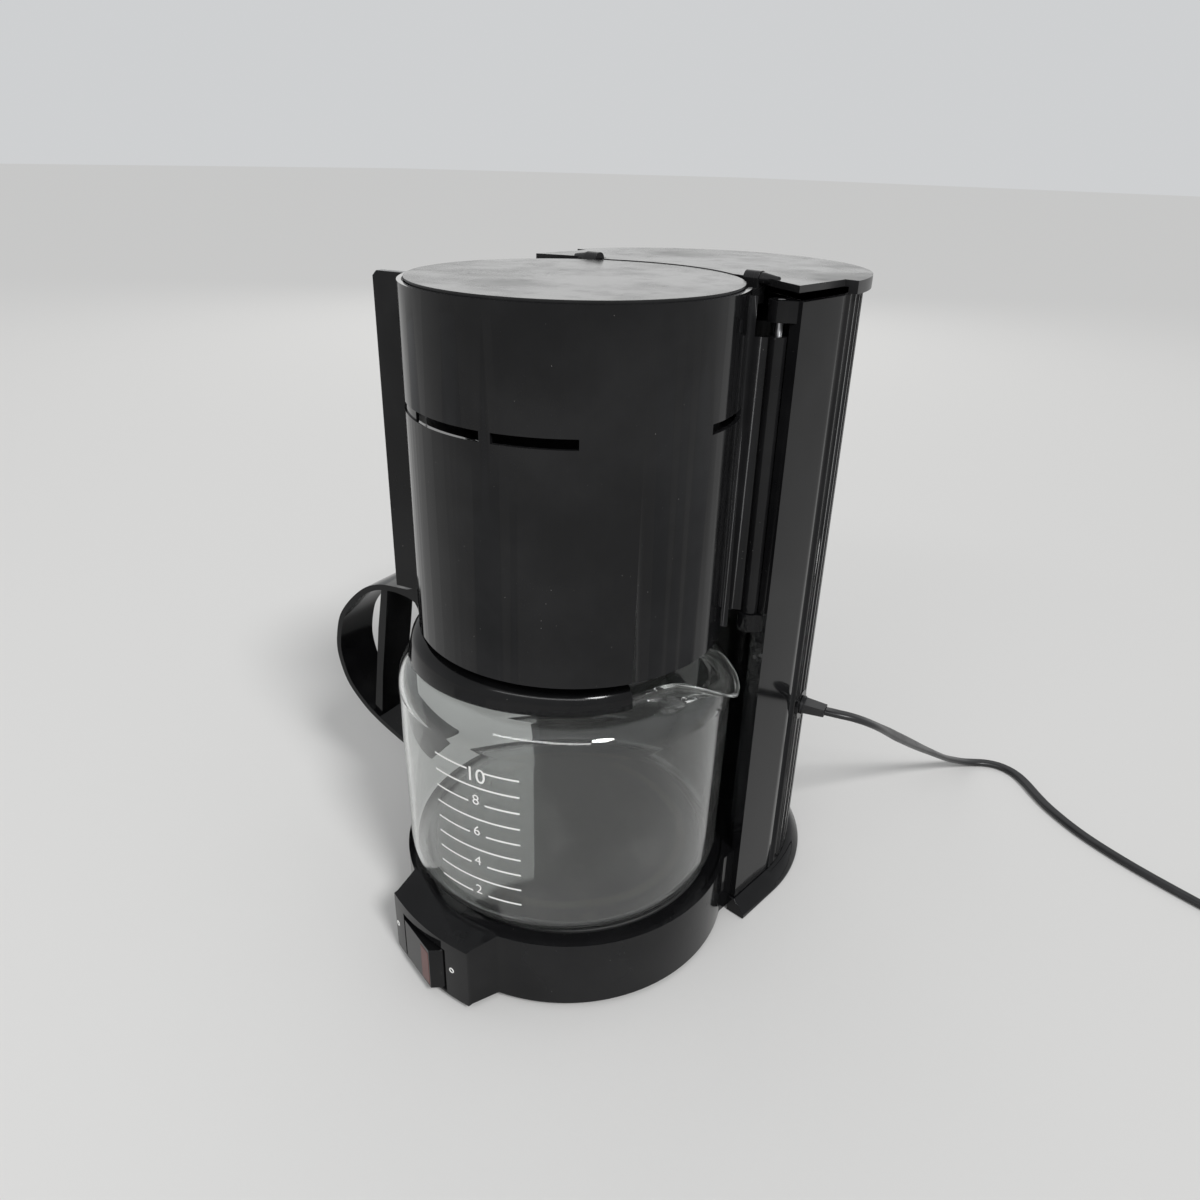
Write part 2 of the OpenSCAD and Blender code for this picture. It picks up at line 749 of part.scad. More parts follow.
module filter_housing() {
    ledge = 88;
    color("#161618") difference() {
        union() {
            translate([0, 0, filter_z]) tube(filter_r, filter_r - filter_wall, slot_top - filter_z);
            translate([0, 0, slot_top - 0.1]) linear_extrude(rim_top - slot_top + 0.1) intersection() {
                difference() {
                    circle(r = filter_r);
                    circle(r = filter_r - filter_wall);
                }
                wedge(rim_start, rim_end, 2 * filter_r);
            }
            // Floor and the ledge that carries the basket
            translate([0, 0, filter_z + 2]) tube(filter_r - 0.5, 9, 2);
            translate([0, 0, filter_z + ledge - 2]) rotate_extrude() polygon([
                [filter_r - filter_wall + 0.2, -3], [filter_r - filter_wall + 0.2, 2],
                [filter_r - filter_wall - 2.4, 2], [filter_r - filter_wall - 2.4, 0]]);
            // Grip fin
            translate([filter_r * sin(fin_az), -filter_r * cos(fin_az), filter_z])
                rotate([0, 0, fin_turn]) difference() {
                    translate([-fin_reach, -fin_t / 2, 0]) cube([fin_reach + 0.6, fin_t, filter_h - 1.2]);
                    translate([-fin_reach, 0, filter_h - 1.2]) rotate([0, 45, 0])
                        cube([3, 2 * fin_t, 3], center = true);
                }
            // Hinge flange and tube
            translate([hinge_x, hinge_y, tube_z]) cylinder(r = tube_r, h = tube_top - tube_z);
            rotate([0, 0, hinge_angle]) {
                translate([filter_r - 1, -1.5, tube_z + 0.5]) cube([hinge_gap + 1, 3, tube_top - tube_z - 1]);
                translate([filter_r - 1, -1.5, filter_z]) cube([3.4, 3, rim_top - 3 - filter_z]);
            }
        }
        for (s = slots) translate([0, 0, slot_bottom]) linear_extrude(slot_h) difference() {
            wedge(s[0], s[1], 2 * filter_r);
            circle(r = filter_r - 8);
        }
        // Shallow groove that carries the slots' line round to the fin
        translate([0, 0, slot_bottom]) linear_extrude(slot_h) difference() {
            wedge(-38, slots[0][0] + over, 2 * filter_r);
            circle(r = filter_r - 0.6);
        }
        translate([hinge_x, hinge_y, filter_z]) cylinder(r = pin_r + run_gap, h = filter_h);
    }
}

basket_top = filter_z + 90;
basket_floor = filter_z + 9;
cage_z = basket_floor + 15;
valve_lift = 2;
valve_tip = jug_lid_top + set_gap;
disc_z = basket_floor + 2 + valve_lift;

module filter_basket() {
    top_r = filter_r - filter_wall - 4.6;
    low_r = 18;
    t = 1.8;
    color("#1e1e20") difference() {
        union() {
            rotate_extrude() polygon([
                [3.9, basket_floor], [low_r, basket_floor], [top_r, basket_top - 2],
                [top_r, basket_top - 1.8], [filter_r - filter_wall - 0.6, basket_top - 1.8],
                [filter_r - filter_wall - 0.6, basket_top], [top_r - t, basket_top],
                [low_r - t, basket_floor + 2], [3.9, basket_floor + 2]]);
            for (s = [-1, 1]) translate([s * 8 - 1.5, -2, basket_floor + over])
                cube([3, 4, cage_z - basket_floor]);
            translate([-9.5, -2, cage_z]) cube([19, 4, 2]);
            translate([0, 0, cage_z]) cylinder(r = 4, h = 2);
        }
        translate([0, 0, cage_z - over]) cylinder(r = 1.5 + run_gap, h = 4);
    }
}

module drip_valve() {
    color("#b02a22") {
        translate([0, 0, valve_tip]) cylinder(r = 5, h = 1.6);
        translate([0, 0, valve_tip]) cylinder(r = 1.95, h = disc_z - valve_tip);
        translate([0, 0, disc_z]) cylinder(r = 5.5, h = 1.5);
        translate([0, 0, disc_z]) cylinder(r = 1.5, h = cage_z + 3 - disc_z);
    }
}

// A spring drawn as one swept wire
module drip_spring() {
    turns = 4;
    steps = 12;
    coil = 3;
    wire = 0.4;
    z0 = disc_z + 1.5 + wire;
    z1 = cage_z - wire;
    path = [for (i = [0:turns * steps]) let (a = 360 * i / steps)
        [coil * cos(a), coil * sin(a), z0 + (z1 - z0) * i / (turns * steps)]];
    color("#c9cbce") sweep(path, wire, wire, 6);
}

// ---------- switch ----------

module rocker_shape() {
    polygon([[-rocker_half_w, -rocker_base], [-rocker_nose, -rocker_front], [rocker_nose, -rocker_front],
             [rocker_half_w, -rocker_base], [rocker_half_w, -1], [4, 4], [-4, 4], [-rocker_half_w, -1]]);
}

// Moves to the rocker's pivot, turned to its resting tilt
module at_rocker() {
    translate([pivot_x, pivot_y, rocker_z]) rotate([0, 0, -rocker_tilt]) children();
}

lens_x = 3.6;
lens_w = 7;
lens_z = 1.2;
lens_h = rocker_h - 3.4;

module rocker() {
    color("#151517") at_rocker() difference() {
        linear_extrude(rocker_h) rocker_shape();
        translate([0, 0, -over]) cylinder(r = pin_r + run_gap, h = rocker_h + 2 * over);
        translate([lens_x, -rocker_front - over, lens_z]) cube([lens_w, over + 0.8, lens_h]);
    }
}

module rocker_lens() {
    color("#7c2620") at_rocker() translate([lens_x, -rocker_front - 0.1, lens_z]) cube([lens_w, 0.9, lens_h]);
}

module rocker_pin() {
    color("#b9bbbe") translate([pivot_x, pivot_y, foot_h])
        cylinder(r = pin_r, h = rocker_z - foot_h + rocker_h + cheek_t);
}

module switch_body() {
    back_y = switch_l - pivot_in;
    front = base_wall + set_gap;
    roof_z = rocker_z + rocker_h + set_gap;
    color("#202022") difference() {
        translate([0, 0, foot_h]) linear_extrude(roof_z + cheek_t - foot_h - set_gap) intersection() {
            translate([pivot_x - switch_half, pivot_y - 20]) square([2 * switch_half, 20 + back_y]);
            translate([0, box_arc - box_r]) circle(r = box_arc - front);
        }
        translate([pivot_x - opening_half, pivot_y - 20, rocker_z - set_gap])
            cube([2 * opening_half, 20 + 9, rocker_h + 2 * set_gap]);
        translate([pivot_x, pivot_y, foot_h - over]) cylinder(r = pin_r, h = far);
    }
}

module switch_terminals() {
    color("#b08d3c") for (x = [-9, 0, 9]) translate([pivot_x + x - 3, switch_l - box_r, foot_h + 12])
        cube([6, 8, 0.8]);
}

// ---------- jug ----------

// Moves to the jug's own axis
module at_jug() translate([jug_x, jug_y, 0]) children();

// Outline of the glass from the axis up to the neck, drawn in from its outside by inset
function jug_outline(inset) = concat(
    [[0, jug_z + inset]],
    arc_points([jug_foot_r - foot_arc, jug_z + foot_arc], foot_arc - inset, -90, -4, 6),
    arc_points([jug_r - shoulder_arc, neck_z0 - shoulder_arc + 0.6], shoulder_arc - inset, 0, 78, 8),
    [[neck_r + 0.9 - inset, neck_z0 + 0.6 - inset / 4], [neck_r - inset, neck_z0 + 1.6]]);

function reversed(list) = [for (i = [len(list) - 1:-1:0]) list[i]];

// One level of the pouring lip: a flat outline between two heights, drawn in by inset
module lip_level(z0, z1, points, inset) {
    translate([0, 0, z0]) linear_extrude(z1 - z0)
        polygon([for (p = points) [p[0] - inset * sign(p[0]), inset - p[1]]]);
}

// The pouring lip: its root in the neck, two raised wings and the tip
module lip_hull(inset) {
    lift = inset > 0 ? 8 : 0;
    hull() {
        lip_level(rim_z - 3 + inset, rim_z + lift,
            [[-14, neck_r - 9], [-14, neck_r - 4], [19, neck_r - 4], [19, neck_r - 9]], inset);
        lip_level(rim_z + 1.8 + lift, rim_z + 2.4 + lift,
            [[-13, neck_r + 10], [-9.5, lip_reach - 9], [11.5, lip_reach - 8], [17, neck_r + 11]], inset);
        lip_level(rim_z - 0.6 + inset, rim_z + 0.2 + lift,
            [[-6.2, lip_reach - 0.8], [-4.6, lip_reach + 0.8], [-1.2, lip_reach + 0.4],
             [3.4, lip_reach - 1.6]], inset);
        lip_level(rim_z - 6 + inset, rim_z - 5.6 + inset,
            [[-10, neck_r - 3], [-9, neck_r + 10], [9, neck_r + 10], [11, neck_r - 3]], inset);
    }
}

module jug_glass() {
    color([0.8, 0.85, 0.85, 0.35]) at_jug() difference() {
        union() {
            rotate_extrude() polygon(concat(jug_outline(0),
                [[neck_r, rim_z - 3], [bead_r, rim_z - 2.4], [bead_r, rim_z - 0.6], [bead_r - 0.6, rim_z],
                 [neck_r - glass_t + 0.4, rim_z], [neck_r - glass_t, rim_z - 0.6]],
                reversed(jug_outline(glass_t))));
            to_azimuth(lip_az) difference() {
                lip_hull(0);
                translate([0, 0, neck_z0 - 8]) cylinder(r = neck_r - 0.6, h = 40);
            }
        }
        to_azimuth(lip_az) lip_hull(1.6);
    }
}

module jug_scale() {
    line_h = 0.8;
    ink = 0.12;
    color("#e8e8e4") at_jug() for (i = [0:level_count - 1]) {
        z = first_level + i * level_step;
        wall_z = jug_z + foot_arc;
        r = jug_foot_r + (jug_r - jug_foot_r) * (z - wall_z) / (neck_z0 - shoulder_arc - wall_z) + 0.1;
        for (s = i % 2 == 0 ? [[0, 13.4], [19.4, 31]] : [[0, 31]])
            translate([0, 0, z]) linear_extrude(line_h) intersection() {
                difference() {
                    circle(r = r + ink);
                    circle(r = r);
                }
                wedge(s[0], s[1], 2 * r);
            }
    }
}

// The collar is set off towards the handle, so it widens from the lip to the handle's root
module jug_collar() {
    color("#131315") at_jug() difference() {
        union() {
            to_azimuth(handle_az) translate([0, -collar_shift, collar_z])
                cylinder(r1 = collar_r, r2 = collar_r - 1.6, h = collar_top - collar_z);
            translate([0, 0, rim_z - 2.8]) cylinder(r = bead_r + 2, h = collar_top - rim_z + 2.2);
        }
        // The glass it sits on, with a gap
        translate([0, 0, -far]) cylinder(r = jug_r, h = far + neck_z0 - shoulder_arc);
        translate([0, 0, collar_z - over]) rotate_extrude() translate([0, over - collar_z])
            polygon(concat([[0, collar_z - over], [jug_r + set_gap, collar_z - over]],
                arc_points([jug_r - shoulder_arc, neck_z0 - shoulder_arc + 0.6],
                    shoulder_arc + set_gap, 25, 78, 6),
                [[neck_r + 1.2 + set_gap, neck_z0 + 0.8], [neck_r + 0.3 + set_gap, rim_z - 3.2],
                 [bead_r + set_gap, rim_z - 2.6], [bead_r + set_gap, rim_z + set_gap],
                 [0, rim_z + set_gap]]));
        translate([0, 0, rim_z - over]) cylinder(r = neck_r - 4, h = collar_top);
        translate([0, 0, collar_z - over]) linear_extrude(far)
            wedge(lip_az - collar_open, lip_az + collar_open, 2 * jug_r);
        to_azimuth(handle_az) translate([0, -screw_reach, collar_z - over]) cylinder(r = 1.6, h = far);
    }
}

// A smooth curve through a list of points
function curve(p, steps) = [for (i = [1:len(p) - 3], k = [0:steps - 1])
    let (t = k / steps, a = p[i - 1], b = p[i], c = p[i + 1], d = p[i + 2])
    0.5 * (2 * b + (c - a) * t + (2 * a - 5 * b + 4 * c - d) * t * t + (3 * b - a - 3 * c + d) * t * t * t)];

// The strap's outer edge from the collar round to the glass; x is the reach from the jug axis
strap_top = rim_z + 4.3;
strap_x = jug_r + 8.4;
strap_path = [[strap_x, strap_top], [strap_x + 7, strap_top], [strap_x + 18, rim_z + 3],
    [strap_x + 28, rim_z - 1.1], [strap_x + 37.5, rim_z - 8.6],
    [strap_reach - 7.6, rim_z - 18.6], [strap_reach - 3, rim_z - 27.5], [strap_reach, rim_z - 42],
    [strap_reach - 1.6, rim_z - 54], [strap_reach - 6.6, rim_z - 65.4], [strap_x + 37, rim_z - 76],
    [strap_x + 27, rim_z - 82.4], [strap_x + 13, rim_z - 89], [strap_x + 2, rim_z - 92.8],
    [jug_foot_r + 2, rim_z - 94.5], [jug_foot_r - 9, rim_z - 96]];

// Side view of the strap
module strap_plan() {
    outer = curve(strap_path, 4);
    n = len(outer);
    inner = [for (i = [0:n - 1]) let (t = outer[min(i + 1, n - 1)] - outer[max(i - 1, 0)])
        outer[i] + strap_t * [t[1], -t[0]] / norm(t)];
    polygon(concat(outer, reversed(inner)));
}

// Draws a side view, whose x is the reach from the jug axis, as a plate of the given width
module handle_plate(width) {
    translate([-width / 2, 0, 0]) rotate([90, 0, 90]) linear_extrude(width) mirror([1, 0]) children();
}

module jug_handle() {
    inner_x = neck_r + 6;
    color("#131315") at_jug() to_azimuth(handle_az) difference() {
        union() {
            handle_plate(strap_w) strap_plan();
            // Guard bar between the hand and the glass
            handle_plate(guard_w) translate([strap_x, rim_z]) polygon([[15, 1], [18.9, -24], [23.6, -52],
                [26.8, -78.5], [31.5, -75.5], [27.6, -50], [24, -25], [19.2, 0.5]]);
            // Root that carries the strap on the collar
            handle_plate(strap_w) polygon([[strap_x + 8, strap_top], [strap_x + 8, strap_top - strap_t],
                [strap_x, rim_z + 0.6], [strap_x - 4.5, rim_z - 1], [strap_x - 6.4, rim_z - 4],
                [strap_x - 7.2, rim_z - 10], [inner_x + 9, rim_z - 10],
                [inner_x + 9, collar_top + set_gap], [inner_x - 10, collar_top + set_gap],
                [inner_x - 10, collar_top + 2.4], [inner_x + 10, collar_top + 2.4],
                [strap_x, strap_top + 0.6]]);
        }
        // The collar it sits against, and the glass its foot touches
        translate([0, -collar_shift, collar_z - over])
            cylinder(r = collar_r + set_gap, h = collar_top + set_gap - collar_z + over);
        cylinder(r = jug_r + 0.2, h = rim_z - 40);
        translate([0, 0, rim_z - 14]) cylinder(r = jug_r + 0.2, h = 14 - shoulder_arc + 9);
        translate([0, -screw_reach, collar_z]) cylinder(r = 1.6, h = far);
        translate([0, 0, collar_top - over]) cylinder(r = neck_r - 3.4, h = far);
    }
}

module handle_screw() {
    color("#8d8f92") at_jug() to_azimuth(handle_az) translate([0, -screw_reach, collar_top - 6])
        cylinder(r = 1.5, h = 8);
}

module jug_lid() {
    lid_edge = neck_r - 4.4;
    color("#131315") at_jug() difference() {
        rotate_extrude() polygon([[0, rim_z + 2], [lid_edge, rim_z + 2], [lid_edge, rim_z + 5.4],
            [lid_edge - 2, rim_z + 6.4], [16, rim_z + 7], [8, jug_lid_top], [0, jug_lid_top]]);
        translate([-jug_x + 6.5, -jug_y, 0]) cylinder(r = 1.8, h = far);
        translate([-jug_x - 6.5, -jug_y, 0]) cylinder(r = 1.8, h = far);
    }
}

// ---------- mains lead ----------

// One ring of a flat oval section, square to a tangent, with its width level
function lead_ring(p, t, half_w, half_t, sides) =
    let (side = [t[1], -t[0], 0] / norm([t[1], -t[0], 0]), up = cross(side, t))
    [for (k = [0:sides - 1]) let (a = 360 * k / sides) p + half_w * cos(a) * side + half_t * sin(a) * up];

function unit(v) = v / norm(v);

// A closed tube swept along a list of points
module sweep(path, half_w, half_t, sides) {
    n = len(path);
    tangents = [for (i = [0:n - 1]) unit(path[min(i + 1, n - 1)] - path[max(i - 1, 0)])];
    rings = [for (i = [0:n - 1]) each lead_ring(path[i], tangents[i], half_w, half_t, sides)];
    walls = [for (i = [0:n - 2], k = [0:sides - 1]) let (j = (k + 1) % sides)
        each [[i * sides + k, i * sides + j, (i + 1) * sides + j],
              [i * sides + k, (i + 1) * sides + j, (i + 1) * sides + k]]];
    caps = [[for (k = [0:sides - 1]) sides - 1 - k], [for (k = [0:sides - 1]) (n - 1) * sides + k]];
    polyhedron(rings, concat(walls, caps));
}

lead_axis = [cos(lead_turn), sin(lead_turn), 0];

// A sleeve on the lead, tapered in plan and from the side
module relief_taper(wide, tall) {
    intersection() {
        rotate([90, 0, 0]) linear_extrude(2 * wide, center = true)
            polygon([[-tall, 0], [tall, 0], [lead_t / 2 + 0.4, relief_l], [-lead_t / 2 - 0.4, relief_l]]);
        rotate([0, -90, 0]) linear_extrude(4 * tall, center = true)
            polygon([[0, -wide], [relief_l, -lead_w / 2 - 0.4], [relief_l, lead_w / 2 + 0.4], [0, wide]]);
    }
}

module strain_relief() {
    color("#17171a") at_lead_exit() {
        translate([0, 0, -8]) cylinder(r = relief_r + 1.6, h = 2);
        translate([0, 0, -6.5]) cylinder(r = relief_r, h = 7);
        translate([0, 0, 0.1]) cylinder(r = relief_r + 0.8, h = 1.2);
        relief_taper(relief_r, lead_t / 2 + 1);
    }
}

module power_cord() {
    color("#19191b") sweep(concat([lead_exit + (relief_l + 0.2) * lead_axis], route),
                          lead_w / 2, lead_t / 2, 8);
}

module cord_coil() {
    color("#19191b") translate([coil_c[0], coil_c[1], 0]) rotate_extrude() polygon([
        [coil_r - lead_w, 0], [coil_r + lead_w, 0], [coil_r + lead_w, lead_t],
        [coil_r + lead_w / 2, coil_h], [coil_r - lead_w / 2, coil_h], [coil_r - lead_w, lead_t]]);
}

// Moves to the plug's tail, with +Y along the plug
module at_plug() translate([coil_c[0] + coil_r + lead_w / 2, coil_c[1] + 20, 0]) children();

module plug_body() {
    color("#19191b") at_plug() {
        translate([-plug_w / 2, 14, 0]) cube([plug_w, plug_l - 14, plug_h]);
        translate([0, 0, lead_t]) rotate([-90, 0, 0]) cylinder(r = lead_t, h = 15);
    }
}

module plug_blades() {
    blade_gap = 12.7;
    color("#c8b98a") at_plug() for (s = [-1, 1])
        translate([s * blade_gap / 2 - 0.75, plug_l, plug_h / 2 - 3.2]) cube([1.5, 16, 6.4]);
}

// ---------- assembly ----------

base_shell();
base_plate();
base_screws();
rubber_feet();
hot_plate();
plate_seal();
heater();
heater_clamp();
thermostat();
thermal_fuse();
cold_hose();
check_valve();
riser_tube();
column_housing();
column_front();
column_floor();
column_screws();
plinth();
water_tank();
brew_head();
spray_plate();
lid_hinge_pins();
filter_hinge_pin();
tank_lid();
filter_housing();
filter_basket();
drip_valve();
drip_spring();
switch_body();
rocker_pin();
switch_terminals();
rocker();
rocker_lens();
jug_glass();
jug_scale();
jug_collar();
jug_handle();
handle_screw();
jug_lid();
strain_relief();
power_cord();
cord_coil();
plug_body();
plug_blades();
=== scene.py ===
"""A drip coffee maker, dressed for a studio picture.

The machine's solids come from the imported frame. This script gives each of them
its finish, and adds the pieces that need a finer surface than the solids have:
the blown glass of the jug, its printed numerals, the switch marks and the lead.
"""

import json
import logging
import math
from dataclasses import dataclass, field
from enum import Enum
from typing import Sequence

import bpy
from mathutils import Matrix, Vector

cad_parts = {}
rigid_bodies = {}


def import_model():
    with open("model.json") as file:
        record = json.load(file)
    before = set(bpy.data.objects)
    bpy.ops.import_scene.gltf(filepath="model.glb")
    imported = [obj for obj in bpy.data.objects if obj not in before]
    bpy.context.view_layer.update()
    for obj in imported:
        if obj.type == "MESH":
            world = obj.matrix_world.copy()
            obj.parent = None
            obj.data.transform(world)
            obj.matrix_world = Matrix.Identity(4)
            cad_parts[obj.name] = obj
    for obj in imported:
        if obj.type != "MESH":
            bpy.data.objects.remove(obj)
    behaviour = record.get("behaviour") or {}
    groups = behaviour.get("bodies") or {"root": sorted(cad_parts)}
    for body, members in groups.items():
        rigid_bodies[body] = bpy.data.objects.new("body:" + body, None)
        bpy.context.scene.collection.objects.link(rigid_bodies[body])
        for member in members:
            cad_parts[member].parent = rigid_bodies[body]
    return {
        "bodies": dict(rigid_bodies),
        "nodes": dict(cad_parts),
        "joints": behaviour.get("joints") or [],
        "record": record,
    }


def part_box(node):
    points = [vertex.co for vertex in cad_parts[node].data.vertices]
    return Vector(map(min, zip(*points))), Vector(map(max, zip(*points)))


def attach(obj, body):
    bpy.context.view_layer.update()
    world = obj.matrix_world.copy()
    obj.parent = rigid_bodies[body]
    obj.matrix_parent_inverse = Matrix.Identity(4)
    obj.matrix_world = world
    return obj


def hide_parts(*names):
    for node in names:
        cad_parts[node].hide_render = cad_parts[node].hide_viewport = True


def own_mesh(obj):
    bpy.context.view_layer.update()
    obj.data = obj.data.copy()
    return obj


log = logging.getLogger("coffee_maker")

Point = tuple[float, float, float]
Colour = tuple[float, float, float]
MM = 0.001


class Body(Enum):
    """The rigid bodies that pieces ride on."""

    MACHINE = "machine"
    FILTER = "filter"
    VALVE = "drip_valve"
    LID = "tank_lid"
    ROCKER = "rocker"
    JUG = "jug"


# ---------- shader maths ----------


class Value:
    """One number of a material's node tree, on which sums can be written."""

    def __init__(self, sheet: "Sheet", socket: bpy.types.NodeSocket) -> None:
        """Keeps the socket.

        Args:
            sheet: the material that the socket belongs to.
            socket: the output that carries the number.
        """
        self.sheet = sheet
        self.socket = socket

    def _sum(self, operation: str, left: "Value | float", right: "Value | float") -> "Value":
        """Adds one Math node.

        Args:
            operation: the Math node's operation.
            left: the first operand.
            right: the second operand.

        Returns:
            The node's result.
        """
        return self.sheet.node("ShaderNodeMath", {"operation": operation}, {0: left, 1: right})

    def __add__(self, other: "Value | float") -> "Value":
        """Returns self + other."""
        return self._sum("ADD", self, other)

    def __radd__(self, other: float) -> "Value":
        """Returns other + self."""
        return self._sum("ADD", other, self)

    def __sub__(self, other: "Value | float") -> "Value":
        """Returns self - other."""
        return self._sum("SUBTRACT", self, other)

    def __rsub__(self, other: float) -> "Value":
        """Returns other - self."""
        return self._sum("SUBTRACT", other, self)

    def __mul__(self, other: "Value | float") -> "Value":
        """Returns self * other."""
        return self._sum("MULTIPLY", self, other)

    def __rmul__(self, other: float) -> "Value":
        """Returns other * self."""
        return self._sum("MULTIPLY", other, self)

    def __truediv__(self, other: "Value | float") -> "Value":
        """Returns self / other."""
        return self._sum("DIVIDE", self, other)

    def above(self, low: float, high: float) -> "Value":
        """Fades from 0 to 1 as the number rises through a range.

        Args:
            low: where the result is still 0.
            high: where the result reaches 1.

        Returns:
            The faded number.
        """
        return self.sheet.node("ShaderNodeMapRange", {"interpolation_type": "SMOOTHSTEP"},
                               {"Value": self, "From Min": low, "From Max": high})

    def within(self, centre: float, half: float, soft: float) -> "Value":
        """Marks where the number is near a centre.

        Args:
            centre: the middle of the marked range.
            half: half of the range's width.
            soft: the width of the fade at each end.

        Returns:
            1 inside the range, 0 outside it.
        """
        away = self._sum("ABSOLUTE", self - centre, 0.0)
        return 1.0 - away.above(half, half + soft)


class Sheet:
    """The nodes of a material or a world under construction."""

    def __init__(self, owner: bpy.types.Material | bpy.types.World) -> None:
        """Empties the owner's node tree.

        Args:
            owner: the material or world.
        """
        owner.use_nodes = True
        self.owner = owner
        self.tree = owner.node_tree
        self.tree.nodes.clear()

    @classmethod
    def named(cls, name: str) -> "Sheet":
        """Starts a new material.

        Args:
            name: the material's name.
        """
        return cls(bpy.data.materials.new(name))

    def node(self, kind: str, settings: dict | None = None, inputs: dict | None = None,
             output: int | str = 0) -> Value:
        """Adds one node.

        Args:
            kind: the node's type.
            settings: properties that are set before the sockets.
            inputs: numbers, colours or values for the input sockets.
            output: the output socket that is wanted.

        Returns:
            The wanted output.
        """
        made = self.tree.nodes.new(kind)
        for key, setting in (settings or {}).items():
            setattr(made, key, setting)
        for key, given in (inputs or {}).items():
            if isinstance(given, Value):
                self.tree.links.new(given.socket, made.inputs[key])
            else:
                made.inputs[key].default_value = given
        return Value(self, made.outputs[output])

    def place(self) -> Value:
        """Returns the Object coordinates."""
        return self.node("ShaderNodeTexCoord", output="Object")

    def stretched(self, where: Value, scale: Point, turn: Point = (0.0, 0.0, 0.0)) -> Value:
        """Returns coordinates that are turned and then scaled per axis.

        Args:
            where: the coordinates.
            scale: the factors along X, Y and Z.
            turn: the turn about X, Y and Z in degrees.

        Returns:
            The new coordinates.
        """
        turned = self.node("ShaderNodeMapping", {"vector_type": "POINT"},
                           {"Vector": where, "Rotation": tuple(math.radians(a) for a in turn)})
        return self.node("ShaderNodeMapping", {"vector_type": "POINT"}, {"Vector": turned, "Scale": scale})

    def noise(self, where: Value, scale: float, detail: float = 3.0, rough: float = 0.55) -> Value:
        """Returns a cloudy pattern from 0 to 1.

        Args:
            where: the coordinates.
            scale: cells in a metre.
            detail: octaves.
            rough: weight of the finer octaves.

        Returns:
            The pattern.
        """
        return self.node("ShaderNodeTexNoise", None,
                         {"Vector": where, "Scale": scale, "Detail": detail, "Roughness": rough})

    def specks(self, where: Value, scale: float, size: float, share: float) -> Value:
        """Returns sparse round specks.

        Args:
            where: the coordinates.
            scale: cells in a metre.
            size: the radius of a speck in cells.
            share: how many of the cells carry a speck.

        Returns:
            1 on a speck, 0 elsewhere.
        """
        cells = {"voronoi_dimensions": "3D", "feature": "F1"}
        near = self.node("ShaderNodeTexVoronoi", cells, {"Vector": where, "Scale": scale}, "Distance")
        pick = self.node("ShaderNodeTexVoronoi", cells, {"Vector": where, "Scale": scale}, "Color")
        chosen = self.node("ShaderNodeSeparateColor", None, {"Color": pick}).above(1.0 - share, 1.02 - share)
        return (1.0 - near.above(size * 0.6, size)) * chosen

    def scratches(self, where: Value, turn: Point, fineness: float, share: float) -> Value:
        """Returns long thin scratches in one direction.

        Args:
            where: the coordinates.
            turn: the turn of the scratches about X, Y and Z in degrees.
            fineness: lines in a metre across the scratches.
            share: how much of the surface they cover, from 0 to 1.

        Returns:
            1 in a scratch, 0 elsewhere.
        """
        long_way = self.stretched(where, (fineness, fineness, fineness * 0.03), turn)
        lines = self.noise(long_way, 1.0, 2.0, 0.4)
        patches = self.noise(where, 26.0, 2.0).above(0.5, 0.7)
        return lines.above(0.78 - share * 0.2, 0.82 - share * 0.2) * patches

    def mix(self, share: Value | float, first: Colour | Value, second: Colour | Value) -> Value:
        """Mixes two colours.

        Args:
            share: how much of the second colour is taken.
            first: the first colour.
            second: the second colour.

        Returns:
            The mixed colour.
        """
        full = [c if isinstance(c, Value) else (*c, 1.0) for c in (first, second)]
        return self.node("ShaderNodeMix", {"data_type": "RGBA"}, {0: share, 6: full[0], 7: full[1]}, 2)

    def bump(self, height: Value, depth: float, strength: float = 1.0, under: Value | None = None) -> Value:
        """Returns a normal that follows a height.

        Args:
            height: the height from 0 to 1.
            depth: the real depth in metres of a height of 1.
            strength: how much of the bump is used.
            under: a normal that is bumped already.

        Returns:
            The new normal.
        """
        inputs = {"Height": height, "Distance": depth, "Strength": strength}
        if under is not None:
            inputs["Normal"] = under
        return self.node("ShaderNodeBump", None, inputs)

    def surface(self, **inputs: "Value | float | Sequence[float]") -> bpy.types.Material:
        """Closes the material with one Principled shader.

        Args:
            **inputs: the shader's sockets, with _ for a space in their names.

        Returns:
            The finished material.
        """
        named = {}
        for key, given in inputs.items():
            if isinstance(given, tuple) and len(given) == 3:
                given = (*given, 1.0)
            named[key.replace("_", " ")] = given
        return self.close(self.node("ShaderNodeBsdfPrincipled", None, named))

    def close(self, shader: Value, kind: str = "ShaderNodeOutputMaterial") -> bpy.types.Material | bpy.types.World:
        """Joins a shader to the output.

        Args:
            shader: the shader.
            kind: the output node's type.

        Returns:
            The finished material or world.
        """
        out = self.tree.nodes.new(kind)
        self.tree.links.new(shader.socket, out.inputs["Surface"])
        return self.owner


# ---------- finishes ----------


